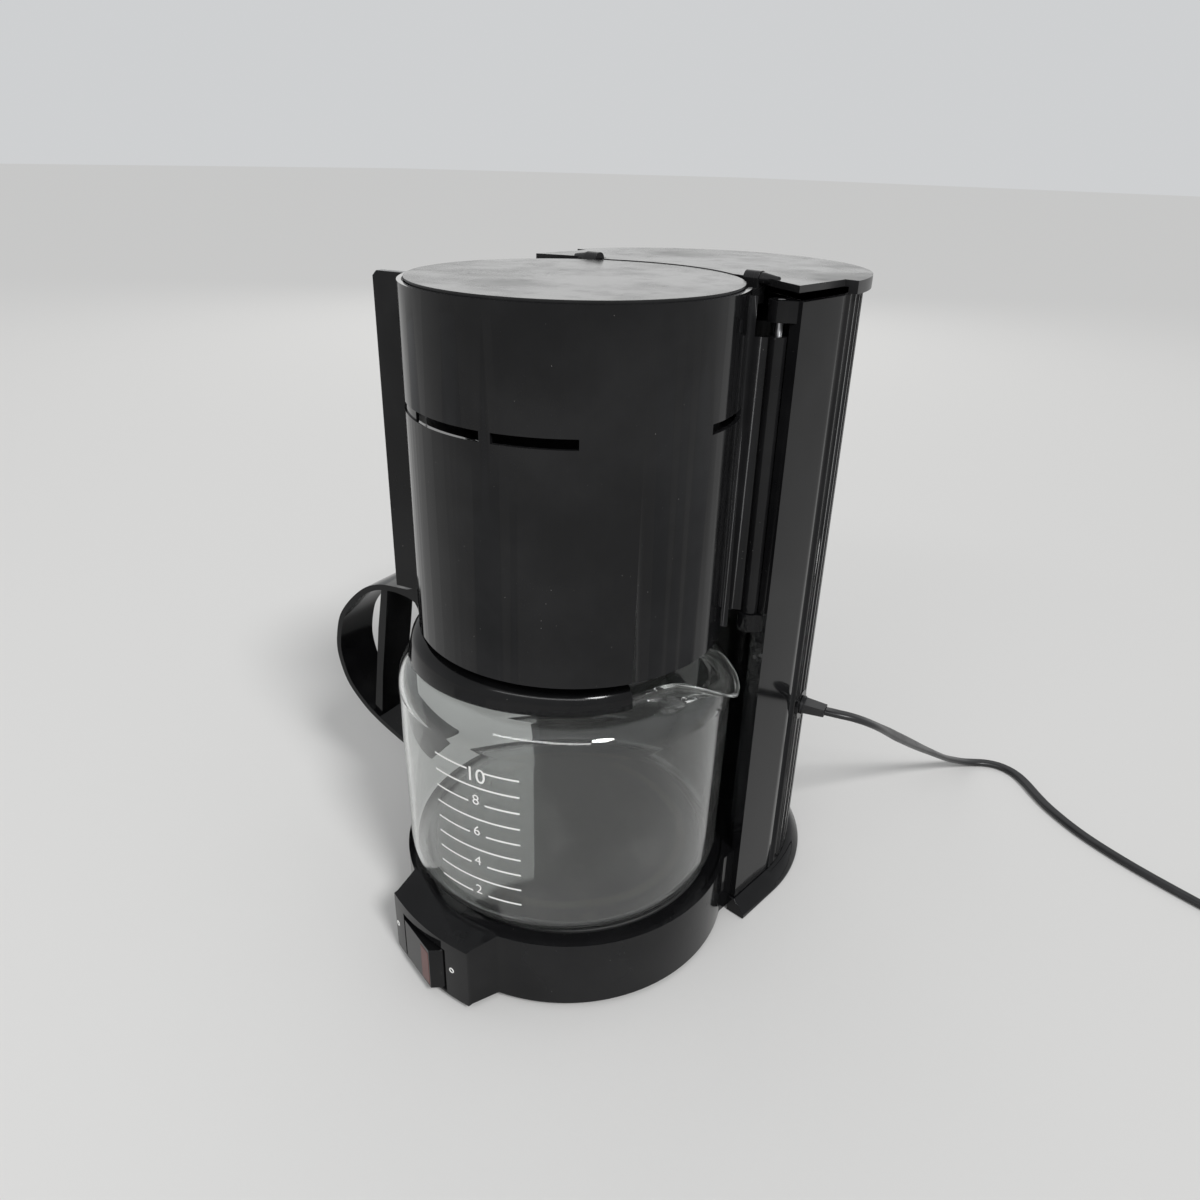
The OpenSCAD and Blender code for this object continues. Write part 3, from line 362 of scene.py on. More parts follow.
@dataclass(frozen=True)
class Moulded:
    """Moulded plastic with handling marks."""

    name: str
    colour: Colour
    roughness: float
    smudge: float = 0.08
    scratch: float = 0.5
    dust: float = 0.02
    grain: float = 0.0
    level: float = 0.5

    def build(self) -> bpy.types.Material:
        """Returns the material."""
        s = Sheet.named(self.name)
        where = s.place()
        cloud = s.noise(where, 21.0, 4.0)
        film = s.noise(where, 90.0, 3.0)
        marks = s.scratches(where, (25.0, 12.0, 0.0), 1500.0, self.scratch)
        marks = marks + s.scratches(where, (70.0, 0.0, 30.0), 1900.0, self.scratch) * 0.7
        specks = s.specks(where, 260.0, 0.07, self.dust) + s.specks(where, 640.0, 0.1, self.dust * 1.6)
        pale = tuple(min(c * 2.2 + 0.02, 1.0) for c in self.colour)
        colour = s.mix(cloud.above(0.35, 0.75) * 0.25, self.colour, pale)
        colour = s.mix(specks * 0.55, colour, (0.42, 0.41, 0.39))
        rough = self.roughness + cloud.above(0.4, 0.75) * self.smudge + film.above(0.5, 0.8) * self.smudge * 0.5
        rough = rough + marks * 0.2 + specks * 0.5
        height = s.noise(where, 1400.0, 2.0) * self.grain - marks * 0.12 + s.noise(where, 30.0, 1.0) * 0.1
        return s.surface(Base_Color=colour, Roughness=rough, Specular_IOR_Level=self.level,
                         Normal=s.bump(height, 0.00008, 0.5))


@dataclass(frozen=True)
class Enamel:
    """The dark coat of the hot plate, with dried rings and spots."""

    name: str
    colour: Colour
    ring_radius: float

    def build(self) -> bpy.types.Material:
        """Returns the material."""
        s = Sheet.named(self.name)
        where = s.place()
        flat = s.stretched(where, (1.0, 1.0, 0.0))
        radius = s.node("ShaderNodeVectorMath", {"operation": "LENGTH"}, {0: flat}, "Value")
        wobble = s.noise(where, 40.0, 2.0) * 0.004
        ring = (radius + wobble).within(self.ring_radius, 0.0012, 0.002)
        stains = s.noise(where, 70.0, 5.0, 0.7).above(0.55, 0.75)
        worn = ring * 0.5 + stains * 0.4
        colour = s.mix(worn, self.colour, (0.09, 0.075, 0.06))
        rough = 0.34 + worn * 0.25
        height = s.noise(where, 1800.0, 3.0)
        return s.surface(Base_Color=colour, Roughness=rough, Specular_IOR_Level=0.5,
                         Normal=s.bump(height, 0.00004, 0.6))


@dataclass(frozen=True)
class Metal:
    """Bare metal with brushing."""

    name: str
    colour: Colour
    roughness: float
    brushing: float = 0.06

    def build(self) -> bpy.types.Material:
        """Returns the material."""
        s = Sheet.named(self.name)
        where = s.place()
        lines = s.noise(s.stretched(where, (900.0, 900.0, 60.0)), 1.0, 3.0)
        dull = s.noise(where, 120.0, 4.0)
        colour = s.mix(dull.above(0.45, 0.8) * 0.5, self.colour, tuple(c * 0.55 for c in self.colour))
        rough = self.roughness + (lines - 0.5) * self.brushing * 2.0 + dull * 0.1
        return s.surface(Base_Color=colour, Roughness=rough, Metallic=1.0, Normal=s.bump(lines, 0.00003, 0.5))


@dataclass(frozen=True)
class Soft:
    """Rubber, silicone or the jacket of a lead."""

    name: str
    colour: Colour
    roughness: float

    def build(self) -> bpy.types.Material:
        """Returns the material."""
        s = Sheet.named(self.name)
        where = s.place()
        bloom = s.noise(where, 60.0, 4.0).above(0.45, 0.8)
        skin = s.noise(where, 1200.0, 2.0)
        colour = s.mix(bloom * 0.35, self.colour, tuple(min(c * 1.7 + 0.012, 1.0) for c in self.colour))
        return s.surface(Base_Color=colour, Roughness=self.roughness + bloom * 0.12,
                         Normal=s.bump(skin, 0.00005, 0.5))


@dataclass(frozen=True)
class Blown:
    """Clear blown glass with a faint film on it."""

    name: str
    tint: Colour

    def build(self) -> bpy.types.Material:
        """Returns the material."""
        s = Sheet.named(self.name)
        where = s.place()
        film = s.noise(where, 45.0, 4.0).above(0.5, 0.85)
        clear = s.node("ShaderNodeBsdfPrincipled", None, {
            "Base Color": (*self.tint, 1.0), "Roughness": 0.004 + film * 0.02, "IOR": 1.47,
            "Transmission Weight": 1.0})
        bloom = s.node("ShaderNodeBsdfDiffuse", None, {"Color": (0.8, 0.8, 0.78, 1.0)})
        return s.close(s.node("ShaderNodeMixShader", None, {0: 0.018 + film * 0.03, 1: clear, 2: bloom}))


@dataclass(frozen=True)
class Ink:
    """Paint that is printed on a smooth surface."""

    name: str
    colour: Colour

    def build(self) -> bpy.types.Material:
        """Returns the material."""
        s = Sheet.named(self.name)
        where = s.place()
        thin = s.noise(where, 900.0, 3.0).above(0.55, 0.8)
        colour = s.mix(thin * 0.4, self.colour, tuple(c * 0.8 for c in self.colour))
        return s.surface(Base_Color=colour, Roughness=0.42 + thin * 0.15, Normal=s.bump(thin, 0.00002, 0.4))


@dataclass(frozen=True)
class Lens:
    """The translucent window over the switch's lamp."""

    name: str
    colour: Colour

    def build(self) -> bpy.types.Material:
        """Returns the material."""
        s = Sheet.named(self.name)
        where = s.place()
        depth = s.noise(where, 160.0, 3.0)
        colour = s.mix(depth, self.colour, tuple(c * 0.45 for c in self.colour))
        return s.surface(Base_Color=colour, Roughness=0.2 + depth * 0.1, Specular_IOR_Level=0.3,
                         Normal=s.bump(depth, 0.00005, 0.3))


@dataclass(frozen=True)
class Floor:
    """The plain pale table top."""

    name: str
    colour: Colour

    def build(self) -> bpy.types.Material:
        """Returns the material."""
        s = Sheet.named(self.name)
        return s.surface(Base_Color=self.colour, Roughness=0.8, Specular_IOR_Level=0.0)


@dataclass(frozen=True)
class Palette:
    """Every finish of the machine, by the record's material slots."""

    finishes: dict[str, "Moulded | Enamel | Metal | Soft | Blown | Ink | Lens"] = field(default_factory=lambda: {
        "housing": Moulded("gloss_black", (0.005, 0.005, 0.0055), 0.06, smudge=0.04, grain=0.05, level=0.2),
        "shell": Moulded("gloss_black_handled", (0.0065, 0.0065, 0.007), 0.07, smudge=0.05, scratch=0.8,
                         dust=0.03, grain=0.05, level=0.21),
        "lid": Moulded("gloss_black_filmed", (0.012, 0.012, 0.0125), 0.2, smudge=0.14, scratch=0.8, dust=0.04,
                       grain=0.1, level=0.34),
        "satin": Moulded("satin_black", (0.014, 0.014, 0.015), 0.42, smudge=0.1, scratch=0.3, dust=0.03, grain=0.8),
        "grip": Moulded("worn_gloss_black", (0.003, 0.003, 0.0034), 0.1, smudge=0.05, grain=0.08, level=0.22),
        "hot_plate": Enamel("hot_plate_coat", (0.014, 0.014, 0.015), 0.059),
        "heater": Metal("cast_aluminium", (0.55, 0.55, 0.56), 0.45),
        "steel": Metal("plain_steel", (0.5, 0.5, 0.51), 0.3),
        "screws": Metal("zinc_screws", (0.46, 0.47, 0.48), 0.35),
        "brass": Metal("bright_brass", (0.62, 0.5, 0.24), 0.25),
        "seal": Soft("seal_rubber", (0.016, 0.016, 0.016), 0.6),
        "feet": Soft("foot_rubber", (0.1, 0.035, 0.025), 0.6),
        "hose": Soft("milky_silicone", (0.62, 0.6, 0.55), 0.4),
        "tank": Moulded("smoke_tank", (0.03, 0.03, 0.034), 0.22, smudge=0.06, scratch=0.2, dust=0.01, grain=0.2),
        "glass": Blown("jug_glass", (0.965, 0.985, 0.972)),
        "print": Ink("white_print", (0.86, 0.86, 0.84)),
        "lens": Lens("red_lens", (0.15, 0.03, 0.022)),
        "lead": Soft("lead_jacket", (0.011, 0.011, 0.012), 0.34),
    })

    def materials(self) -> dict[str, bpy.types.Material]:
        """Returns a built material for each slot."""
        return {slot: finish.build() for slot, finish in self.finishes.items()}


# ---------- modelling helpers ----------


def pick_nothing() -> None:
    """Leaves edit mode and deselects everything."""
    if bpy.context.object is not None and bpy.context.object.mode != "OBJECT":
        bpy.ops.object.mode_set(mode="OBJECT")
    bpy.ops.object.select_all(action="DESELECT")


def pick(obj: bpy.types.Object) -> None:
    """Makes one object the only selected and active one.

    Args:
        obj: the object.
    """
    pick_nothing()
    obj.select_set(True)
    bpy.context.view_layer.objects.active = obj


def settle(obj: bpy.types.Object) -> None:
    """Moves an object's place into its mesh.

    Args:
        obj: the object.
    """
    pick(obj)
    bpy.ops.object.transform_apply(location=True, rotation=True, scale=True)


def apply_all(obj: bpy.types.Object) -> None:
    """Applies all modifiers of an object.

    Args:
        obj: the object.
    """
    pick(obj)
    for modifier in list(obj.modifiers):
        bpy.ops.object.modifier_apply(modifier=modifier.name)


def smooth(obj: bpy.types.Object, angle: float = 32.0) -> None:
    """Shades an object smooth except at sharp edges.

    Args:
        obj: the object.
        angle: the angle in degrees from which an edge stays sharp.
    """
    pick(obj)
    bpy.ops.object.shade_smooth_by_angle(angle=math.radians(angle))


def turn_outward(obj: bpy.types.Object) -> None:
    """Points all faces of a closed object outwards.

    Args:
        obj: the object.
    """
    pick(obj)
    bpy.ops.object.mode_set(mode="EDIT")
    bpy.ops.mesh.select_all(action="SELECT")
    bpy.ops.mesh.normals_make_consistent(inside=False)
    bpy.ops.object.mode_set(mode="OBJECT")


def dress(obj: bpy.types.Object, material: bpy.types.Material) -> None:
    """Gives an object one material.

    Args:
        obj: the object.
        material: the material.
    """
    obj.data.materials.clear()
    obj.data.materials.append(material)


def mesh_piece(name: str, points: Sequence[Sequence[float]], faces: Sequence[Sequence[int]]) -> bpy.types.Object:
    """Makes an object from points and faces.

    Args:
        name: the piece's name.
        points: its points in metres.
        faces: its faces, as places in the list of points.

    Returns:
        The new object.
    """
    mesh = bpy.data.meshes.new(name)
    mesh.from_pydata([tuple(p) for p in points], [], [tuple(f) for f in faces])
    mesh.update()
    made = bpy.data.objects.new(name, mesh)
    bpy.context.scene.collection.objects.link(made)
    return made


def swept_faces(rows: int, sides: int) -> list[tuple[int, ...]]:
    """Returns the faces of a closed outline swept in rows, with both ends shut.

    Args:
        rows: the number of outlines.
        sides: the number of points of an outline.
    """
    faces = [(i * sides + k, i * sides + (k + 1) % sides, (i + 1) * sides + (k + 1) % sides, (i + 1) * sides + k)
             for i in range(rows - 1) for k in range(sides)]
    return [*faces, tuple(reversed(range(sides))), tuple((rows - 1) * sides + k for k in range(sides))]


def fade(share: float) -> float:
    """Returns the share eased at both ends, held between 0 and 1."""
    held = min(max(share, 0.0), 1.0)
    return held * held * (3.0 - 2.0 * held)


# ---------- sub-assemblies ----------


@dataclass
class Shop:
    """What every sub-assembly needs: the frame and the finishes."""

    frame: dict
    materials: dict[str, bpy.types.Material]
    slots: dict[str, str]
    merge_gap: float = 0.000002
    flat_angle: float = 0.3
    edge_angle: float = 50.0
    edge_steps: int = 3

    @classmethod
    def open(cls) -> "Shop":
        """Loads the frame and builds the finishes."""
        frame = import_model()
        slots = {part["node"]: part["material_slot"] for part in frame["record"]["subparts"]}
        return cls(frame, Palette().materials(), slots)

    def node(self, name: str) -> bpy.types.Object:
        """Returns a node's object."""
        return self.frame["nodes"][name]

    def paint_node(self, name: str) -> None:
        """Gives a node its finish and leaves its shape.

        Args:
            name: the node's name.
        """
        dress(self.node(name), self.materials[self.slots[name]])
        log.info("painted %s", name)

    def refine_node(self, name: str, body: Body, edge: float = 0.0, angle: float = 32.0,
                    finish: str = "") -> bpy.types.Object:
        """Replaces a node by a joined and smoothly shaded copy.

        Args:
            name: the node's name.
            body: the body that it rides on.
            edge: the width in millimetres of a rounding on its edges.
            angle: the angle in degrees from which an edge is sharp.
            finish: the finish to use, where it isn't the one of the node's slot.

        Returns:
            The copy.
        """
        copy = self.node(name).copy()
        copy.data = self.node(name).data.copy()
        copy.name = f"{name}_fine"
        for key in list(copy.keys()):
            del copy[key]
        copy.parent = None
        bpy.context.scene.collection.objects.link(copy)
        pick(copy)
        bpy.ops.object.mode_set(mode="EDIT")
        bpy.ops.mesh.select_all(action="SELECT")
        bpy.ops.mesh.remove_doubles(threshold=self.merge_gap)
        bpy.ops.mesh.dissolve_limited(angle_limit=math.radians(self.flat_angle))
        bpy.ops.object.mode_set(mode="OBJECT")
        if edge > 0.0:
            bevel = copy.modifiers.new("edges", "BEVEL")
            bevel.width = edge * MM
            bevel.segments = self.edge_steps
            bevel.limit_method = "ANGLE"
            bevel.angle_limit = math.radians(self.edge_angle)
            bevel.use_clamp_overlap = True
            apply_all(copy)
        smooth(copy, angle)
        if edge > 0.0:
            evened = copy.modifiers.new("evened", "WEIGHTED_NORMAL")
            evened.keep_sharp = True
            apply_all(copy)
        self.join(copy, body, self.slots[name], name)
        if finish:
            dress(copy, self.materials[finish])
        return copy

    def join(self, obj: bpy.types.Object, body: Body, slot: str, *nodes: str) -> None:
        """Finishes a piece: its material, its body and the nodes that it stands for.

        Args:
            obj: the piece.
            body: the body that it rides on.
            slot: the material slot of its finish.
            *nodes: the nodes that it replaces.
        """
        dress(obj, self.materials[slot])
        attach(obj, body.value)
        if nodes:
            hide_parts(*nodes)
        log.info("made %s, %d faces", obj.name, len(obj.data.polygons))


@dataclass
class Jug:
    """The glass jug with its lip, its printed scale, collar and handle. Sizes are in millimetres."""

    shop: Shop
    centre: tuple[float, float] = (-1.6, -1.6)
    foot_z: float = 39.6
    height: float = 110.4
    radius: float = 77.6
    foot_radius: float = 76.8
    foot_arc: float = 7.5
    shoulder_arc: float = 14.0
    neck_radius: float = 61.0
    neck_height: float = 5.0
    shoulder_lift: float = 0.6
    wall: float = 2.2
    bead_drop: float = 2.6
    handle_azimuth: float = -78.0
    lip_middle: float = 101.5
    collar_open: float = 31.5
    collar_radius: float = 67.0
    collar_taper: float = 1.6
    collar_shift: float = 7.2
    collar_rise: float = 6.0
    collar_round: float = 6.4
    collar_gap: float = 0.3
    collar_seam: float = 0.6
    collar_steps: int = 150
    steps: int = 300
    lip_azimuth: float = 101.26
    lip_step: float = 3.0
    lip_root: float = 70.4
    lip_drop: float = 6.8
    lip_rise: float = 6.0
    lip_edge: tuple[float, ...] = (86.9, 85.7, 83.0, 79.4, 75.5, 71.2, 66.9, 63.7, 62.0)
    lip_lift: tuple[float, ...] = (-2.8, -1.3, 0.9, 3.0, 4.6, 5.0, 3.5, 1.3, 0.0)
    side_height: float = 83.9
    ink: float = 0.16
    marks: tuple[tuple[str, float, float, float], ...] = (
        ("2", 7.0, 15.9, 58.5), ("4", 7.0, 16.0, 74.9), ("6", 7.0, 16.1, 91.3), ("8", 7.2, 16.2, 107.7),
        ("10", 10.0, 16.4, 120.3))

    @property
    def rim_z(self) -> float:
        """Returns the height of the rim."""
        return self.foot_z + self.height

    def outline(self, inset: float) -> list[tuple[float, float]]:
        """Returns the glass's outline from the foot up to the neck, as radius and height.

        Args:
            inset: how far the outline lies inside the outer surface.
        """
        neck_z = self.rim_z - self.neck_height
        line = [(r, self.foot_z + inset) for r in (0.0, 20.0, 40.0, 58.0)]
        line += self._arc(self.foot_radius - self.foot_arc, self.foot_z + self.foot_arc,
                          self.foot_arc - inset, -90.0, -4.0, 20)
        seat = neck_z - self.shoulder_arc + self.shoulder_lift
        low, high = line[-1], (self.radius - inset, seat)
        line += [(low[0] + (high[0] - low[0]) * k / 16, low[1] + (high[1] - low[1]) * k / 16) for k in range(1, 16)]
        line += self._arc(self.radius - self.shoulder_arc, seat, self.shoulder_arc - inset, 0.0, 74.0, 36)
        line += [(self.neck_radius + 0.9 - inset, neck_z + self.shoulder_lift - inset / 4),
                 (self.neck_radius - inset, neck_z + 1.6)]
        return line

    @staticmethod
    def _arc(x: float, z: float, r: float, start: float, end: float, steps: int) -> list[tuple[float, float]]:
        """Returns points along an arc.

        Args:
            x: the radius of its centre.
            z: the height of its centre.
            r: its own radius.
            start: the first angle in degrees.
            end: the last angle in degrees.
            steps: the number of steps.
        """
        turns = [math.radians(start + (end - start) * k / steps) for k in range(steps + 1)]
        return [(x + r * math.cos(a), z + r * math.sin(a)) for a in turns]

    def profile(self) -> list[tuple[float, float, bool]]:
        """Returns the closed wall's line, with a flag for its inner side."""
        outer = [(r, z, False) for r, z in self.outline(0.0)]
        neck_z = outer[-1][1]
        neck_top = self.rim_z - self.bead_drop
        outer += [(self.neck_radius, neck_z + (neck_top - neck_z) * k / 4, False) for k in range(1, 5)]
        bead = self._arc(self.neck_radius - 0.5, self.rim_z - self.bead_drop / 2, 1.45, -40.0, 130.0, 12)
        outer += [(r, z, k > 9) for k, (r, z) in enumerate(bead)]
        inner = [(r, z, True) for r, z in self.outline(self.wall)]
        start = outer[-1]
        end = inner[-1]
        span = [(end[0] + (start[0] - end[0]) * k / 5, end[1] + (start[1] - end[1]) * k / 5, True)
                for k in range(4, 0, -1)]
        return outer + span + inner[::-1]

    def lipped(self, r: float, z: float, turn: float, inner: bool) -> tuple[float, float]:
        """Returns a point of the wall after the lip is drawn out of the neck.

        Args:
            r: the point's radius.
            z: its height.
            turn: its angle in degrees from the middle of the lip.
            inner: whether it lies on the inner side.

        Returns:
            The new radius and height.
        """
        side = abs(turn)
        if side >= self.lip_step * (len(self.lip_edge) - 1) or z < self.rim_z - 8.0 or r < self.neck_radius / 2:
            return r, z
        tip, ring = self.lip_edge[0], self.lip_edge[-1]
        share = (self._between(self.lip_edge, side) - ring) / (tip - ring)
        rise = min(max((z - (self.rim_z - self.lip_drop)) / self.lip_rise, 0.0), 1.0)
        thin = self.wall * 0.9 if inner else 0.0
        drawn = max(r, self.lip_root - thin + (tip - self.lip_root) * rise ** 0.85)
        return r + (drawn - r) * share, z + self._between(self.lip_lift, side) * rise

    def _between(self, table: Sequence[float], side: float) -> float:
        """Returns a smooth value between the steps of a table.

        Args:
            table: the values, one for each step from the middle of the lip.
            side: the angle in degrees from the middle of the lip.
        """
        k = min(int(side / self.lip_step), len(table) - 2)
        t = side / self.lip_step - k
        a, b, c, d = table[abs(k - 1)], table[k], table[k + 1], table[min(k + 2, len(table) - 1)]
        return 0.5 * (2 * b + (c - a) * t + (2 * a - 5 * b + 4 * c - d) * t * t + (3 * b - a - 3 * c + d) * t ** 3)

    def glass(self) -> None:
        """Blows the glass: a spun wall whose neck is drawn out into a lip."""
        line = self.profile()
        rings = [p for p in line if p[0] > 0.0]
        points, faces = [], []
        for r, z, inner in rings:
            for i in range(self.steps):
                azimuth = 360.0 * i / self.steps
                turn = (azimuth - self.lip_azimuth + 180.0) % 360.0 - 180.0
                rr, zz = self.lipped(r, z, turn, inner)
                points.append(self.at(azimuth, rr, zz))
        rows = len(rings)
        for k in range(rows - 1):
            low, high = k * self.steps, (k + 1) * self.steps
            for i in range(self.steps):
                j = (i + 1) % self.steps
                faces.append((low + i, low + j, high + j, high + i))
        for row, height, flip in ((0, line[0][1], True), (rows - 1, line[-1][1], False)):
            points.append(self.at(0.0, 0.0, height))
            hub = len(points) - 1
            for i in range(self.steps):
                j = (i + 1) % self.steps
                ring = (row * self.steps + i, row * self.steps + j)
                faces.append((ring[1], ring[0], hub) if flip else (ring[0], ring[1], hub))
        glass = mesh_piece("jug_glass_blown", points, faces)
        turn_outward(glass)
        smooth(glass, 60.0)
        self.shop.join(glass, Body.JUG, "glass", "jug_glass")

    def at(self, azimuth: float, radius: float, height: float) -> Point:
        """Returns a place in metres by its azimuth, radius and height about the jug's axis.

        Args:
            azimuth: degrees from -Y, turning to +X.
            radius: millimetres from the jug's axis.
            height: millimetres above the table.
        """
        a = math.radians(azimuth)
        x, y = self.centre[0] + radius * math.sin(a), self.centre[1] - radius * math.cos(a)
        return x * MM, y * MM, height * MM

    def numerals(self) -> None:
        """Prints the cup numbers between the halves of the level lines."""
        for words, size, azimuth, height in self.marks:
            pick_nothing()
            bpy.ops.object.text_add(location=(0.0, 0.0, 0.0))
            text = bpy.context.object
            text.data.body = words
            text.data.size = size * MM
            text.data.align_x = "CENTER"
            text.data.align_y = "CENTER"
            text.data.resolution_u = 6
            text.data.extrude = 0.00004
            bpy.ops.object.convert(target="MESH")
            self._wrap(text, azimuth, height)
            text.name = f"numeral_{words}"
            self.shop.join(text, Body.JUG, "print")

    def _wrap(self, text: bpy.types.Object, azimuth: float, height: float) -> None:
        """Lays a flat word on the glass.

        Args:
            text: the word's mesh, lying in the XY plane about the origin.
            azimuth: the direction in degrees of its middle.
            height: the height in millimetres of its middle.
        """
        for vertex in text.data.vertices:
            x, y, deep = vertex.co / MM
            z = height + y
            climb = (z - self.foot_z - self.foot_arc) / self.side_height
            r = self.foot_radius + (self.radius - self.foot_radius) * climb + self.ink + deep
            vertex.co = Vector(self.at(azimuth + math.degrees(x / r), r, z))
        text.data.update()

    def collar_section(self, azimuth: float) -> list[tuple[float, float]]:
        """Returns the collar's closed outline at an azimuth, as radius and height.

        Args:
            azimuth: degrees from -Y, turning to +X.
        """
        off = math.radians(azimuth - self.handle_azimuth)
        side = self.collar_shift * math.sin(off)
        gap, plain = self.collar_gap, self.neck_radius + 3.0
        reach = []
        for ring in (self.collar_radius, self.collar_radius - self.collar_taper):
            shifted = self.collar_shift * math.cos(off) + math.sqrt(ring * ring - side * side)
            reach.append((shifted + plain + math.sqrt((shifted - plain) ** 2 + self.collar_seam)) / 2)
        foot, crown = reach
        top = self.rim_z + self.collar_rise
        seat = self.rim_z - self.neck_height - self.shoulder_arc + self.shoulder_lift
        out = max(foot - self.radius + self.shoulder_arc, 3.4)
        rest = seat + math.sqrt((self.shoulder_arc + gap) ** 2 - out ** 2)
        line = [(self.neck_radius - 4.0, top)]
        line += self._arc(crown - self.collar_round, top - self.collar_round, self.collar_round, 90.0, 8.0, 12)
        line += [(foot, rest + 1.2), (foot - 0.25, rest + 0.45), (foot - 0.9, rest + 0.1)]
        line += [(self.neck_radius + 1.8, self.rim_z - 3.8), (self.neck_radius + 1.5, self.rim_z + gap),
                 (self.neck_radius - 4.0, self.rim_z + gap)]
        return line

    def collar(self) -> None:
        """Sweeps the collar round the neck, open at the lip."""
        first = self.lip_middle + self.collar_open
        span = 360.0 - 2.0 * self.collar_open
        rows = [first + span * k / self.collar_steps for k in range(self.collar_steps + 1)]
        sections = [self.collar_section(azimuth) for azimuth in rows]
        sides = len(sections[0])
        points = [self.at(azimuth, r, z) for azimuth, line in zip(rows, sections) for r, z in line]
        collar = mesh_piece("jug_collar_round", points, swept_faces(len(rows), sides))
        turn_outward(collar)
        smooth(collar, 40.0)
        self.shop.join(collar, Body.JUG, "grip", "jug_collar")

    def build(self) -> None:
        """Builds the jug and everything on it."""
        self.glass()
        self.shop.refine_node("jug_scale", Body.JUG)
        self.numerals()
        self.collar()
        self.shop.refine_node("jug_handle", Body.JUG, 0.5, 40.0)
        self.shop.refine_node("jug_lid", Body.JUG, 0.3)
        self.shop.refine_node("handle_screw", Body.JUG)


@dataclass
class SwitchMarks:
    """The two small rings printed beside the rocker. Sizes are in millimetres."""

    shop: Shop
    places: tuple[tuple[float, float], ...] = ((-24.2, 18.6), (17.3, 20.3))
    arc_radius: float = 120.0
    arc_centre: float = 27.2
    ring: float = 1.1
    line: float = 0.34
    sink: float = 0.06

    def build(self) -> None:
        """Lays both rings on the front of the switch box."""
        for k, (x, z) in enumerate(self.places):
            turn = math.asin(x / self.arc_radius)
            y = self.arc_centre - self.arc_radius * math.cos(turn)
            pick_nothing()
            bpy.ops.mesh.primitive_torus_add(major_segments=32, minor_segments=8, major_radius=self.ring * MM,
                                             minor_radius=self.line * MM,
                                             location=(x * MM, (y + self.sink) * MM, z * MM),
                                             rotation=(math.radians(90.0), 0.0, turn))
            mark = bpy.context.object
            mark.name = f"switch_mark_{k}"
            settle(mark)
            smooth(mark, 60.0)
            self.shop.join(mark, Body.MACHINE, "print")


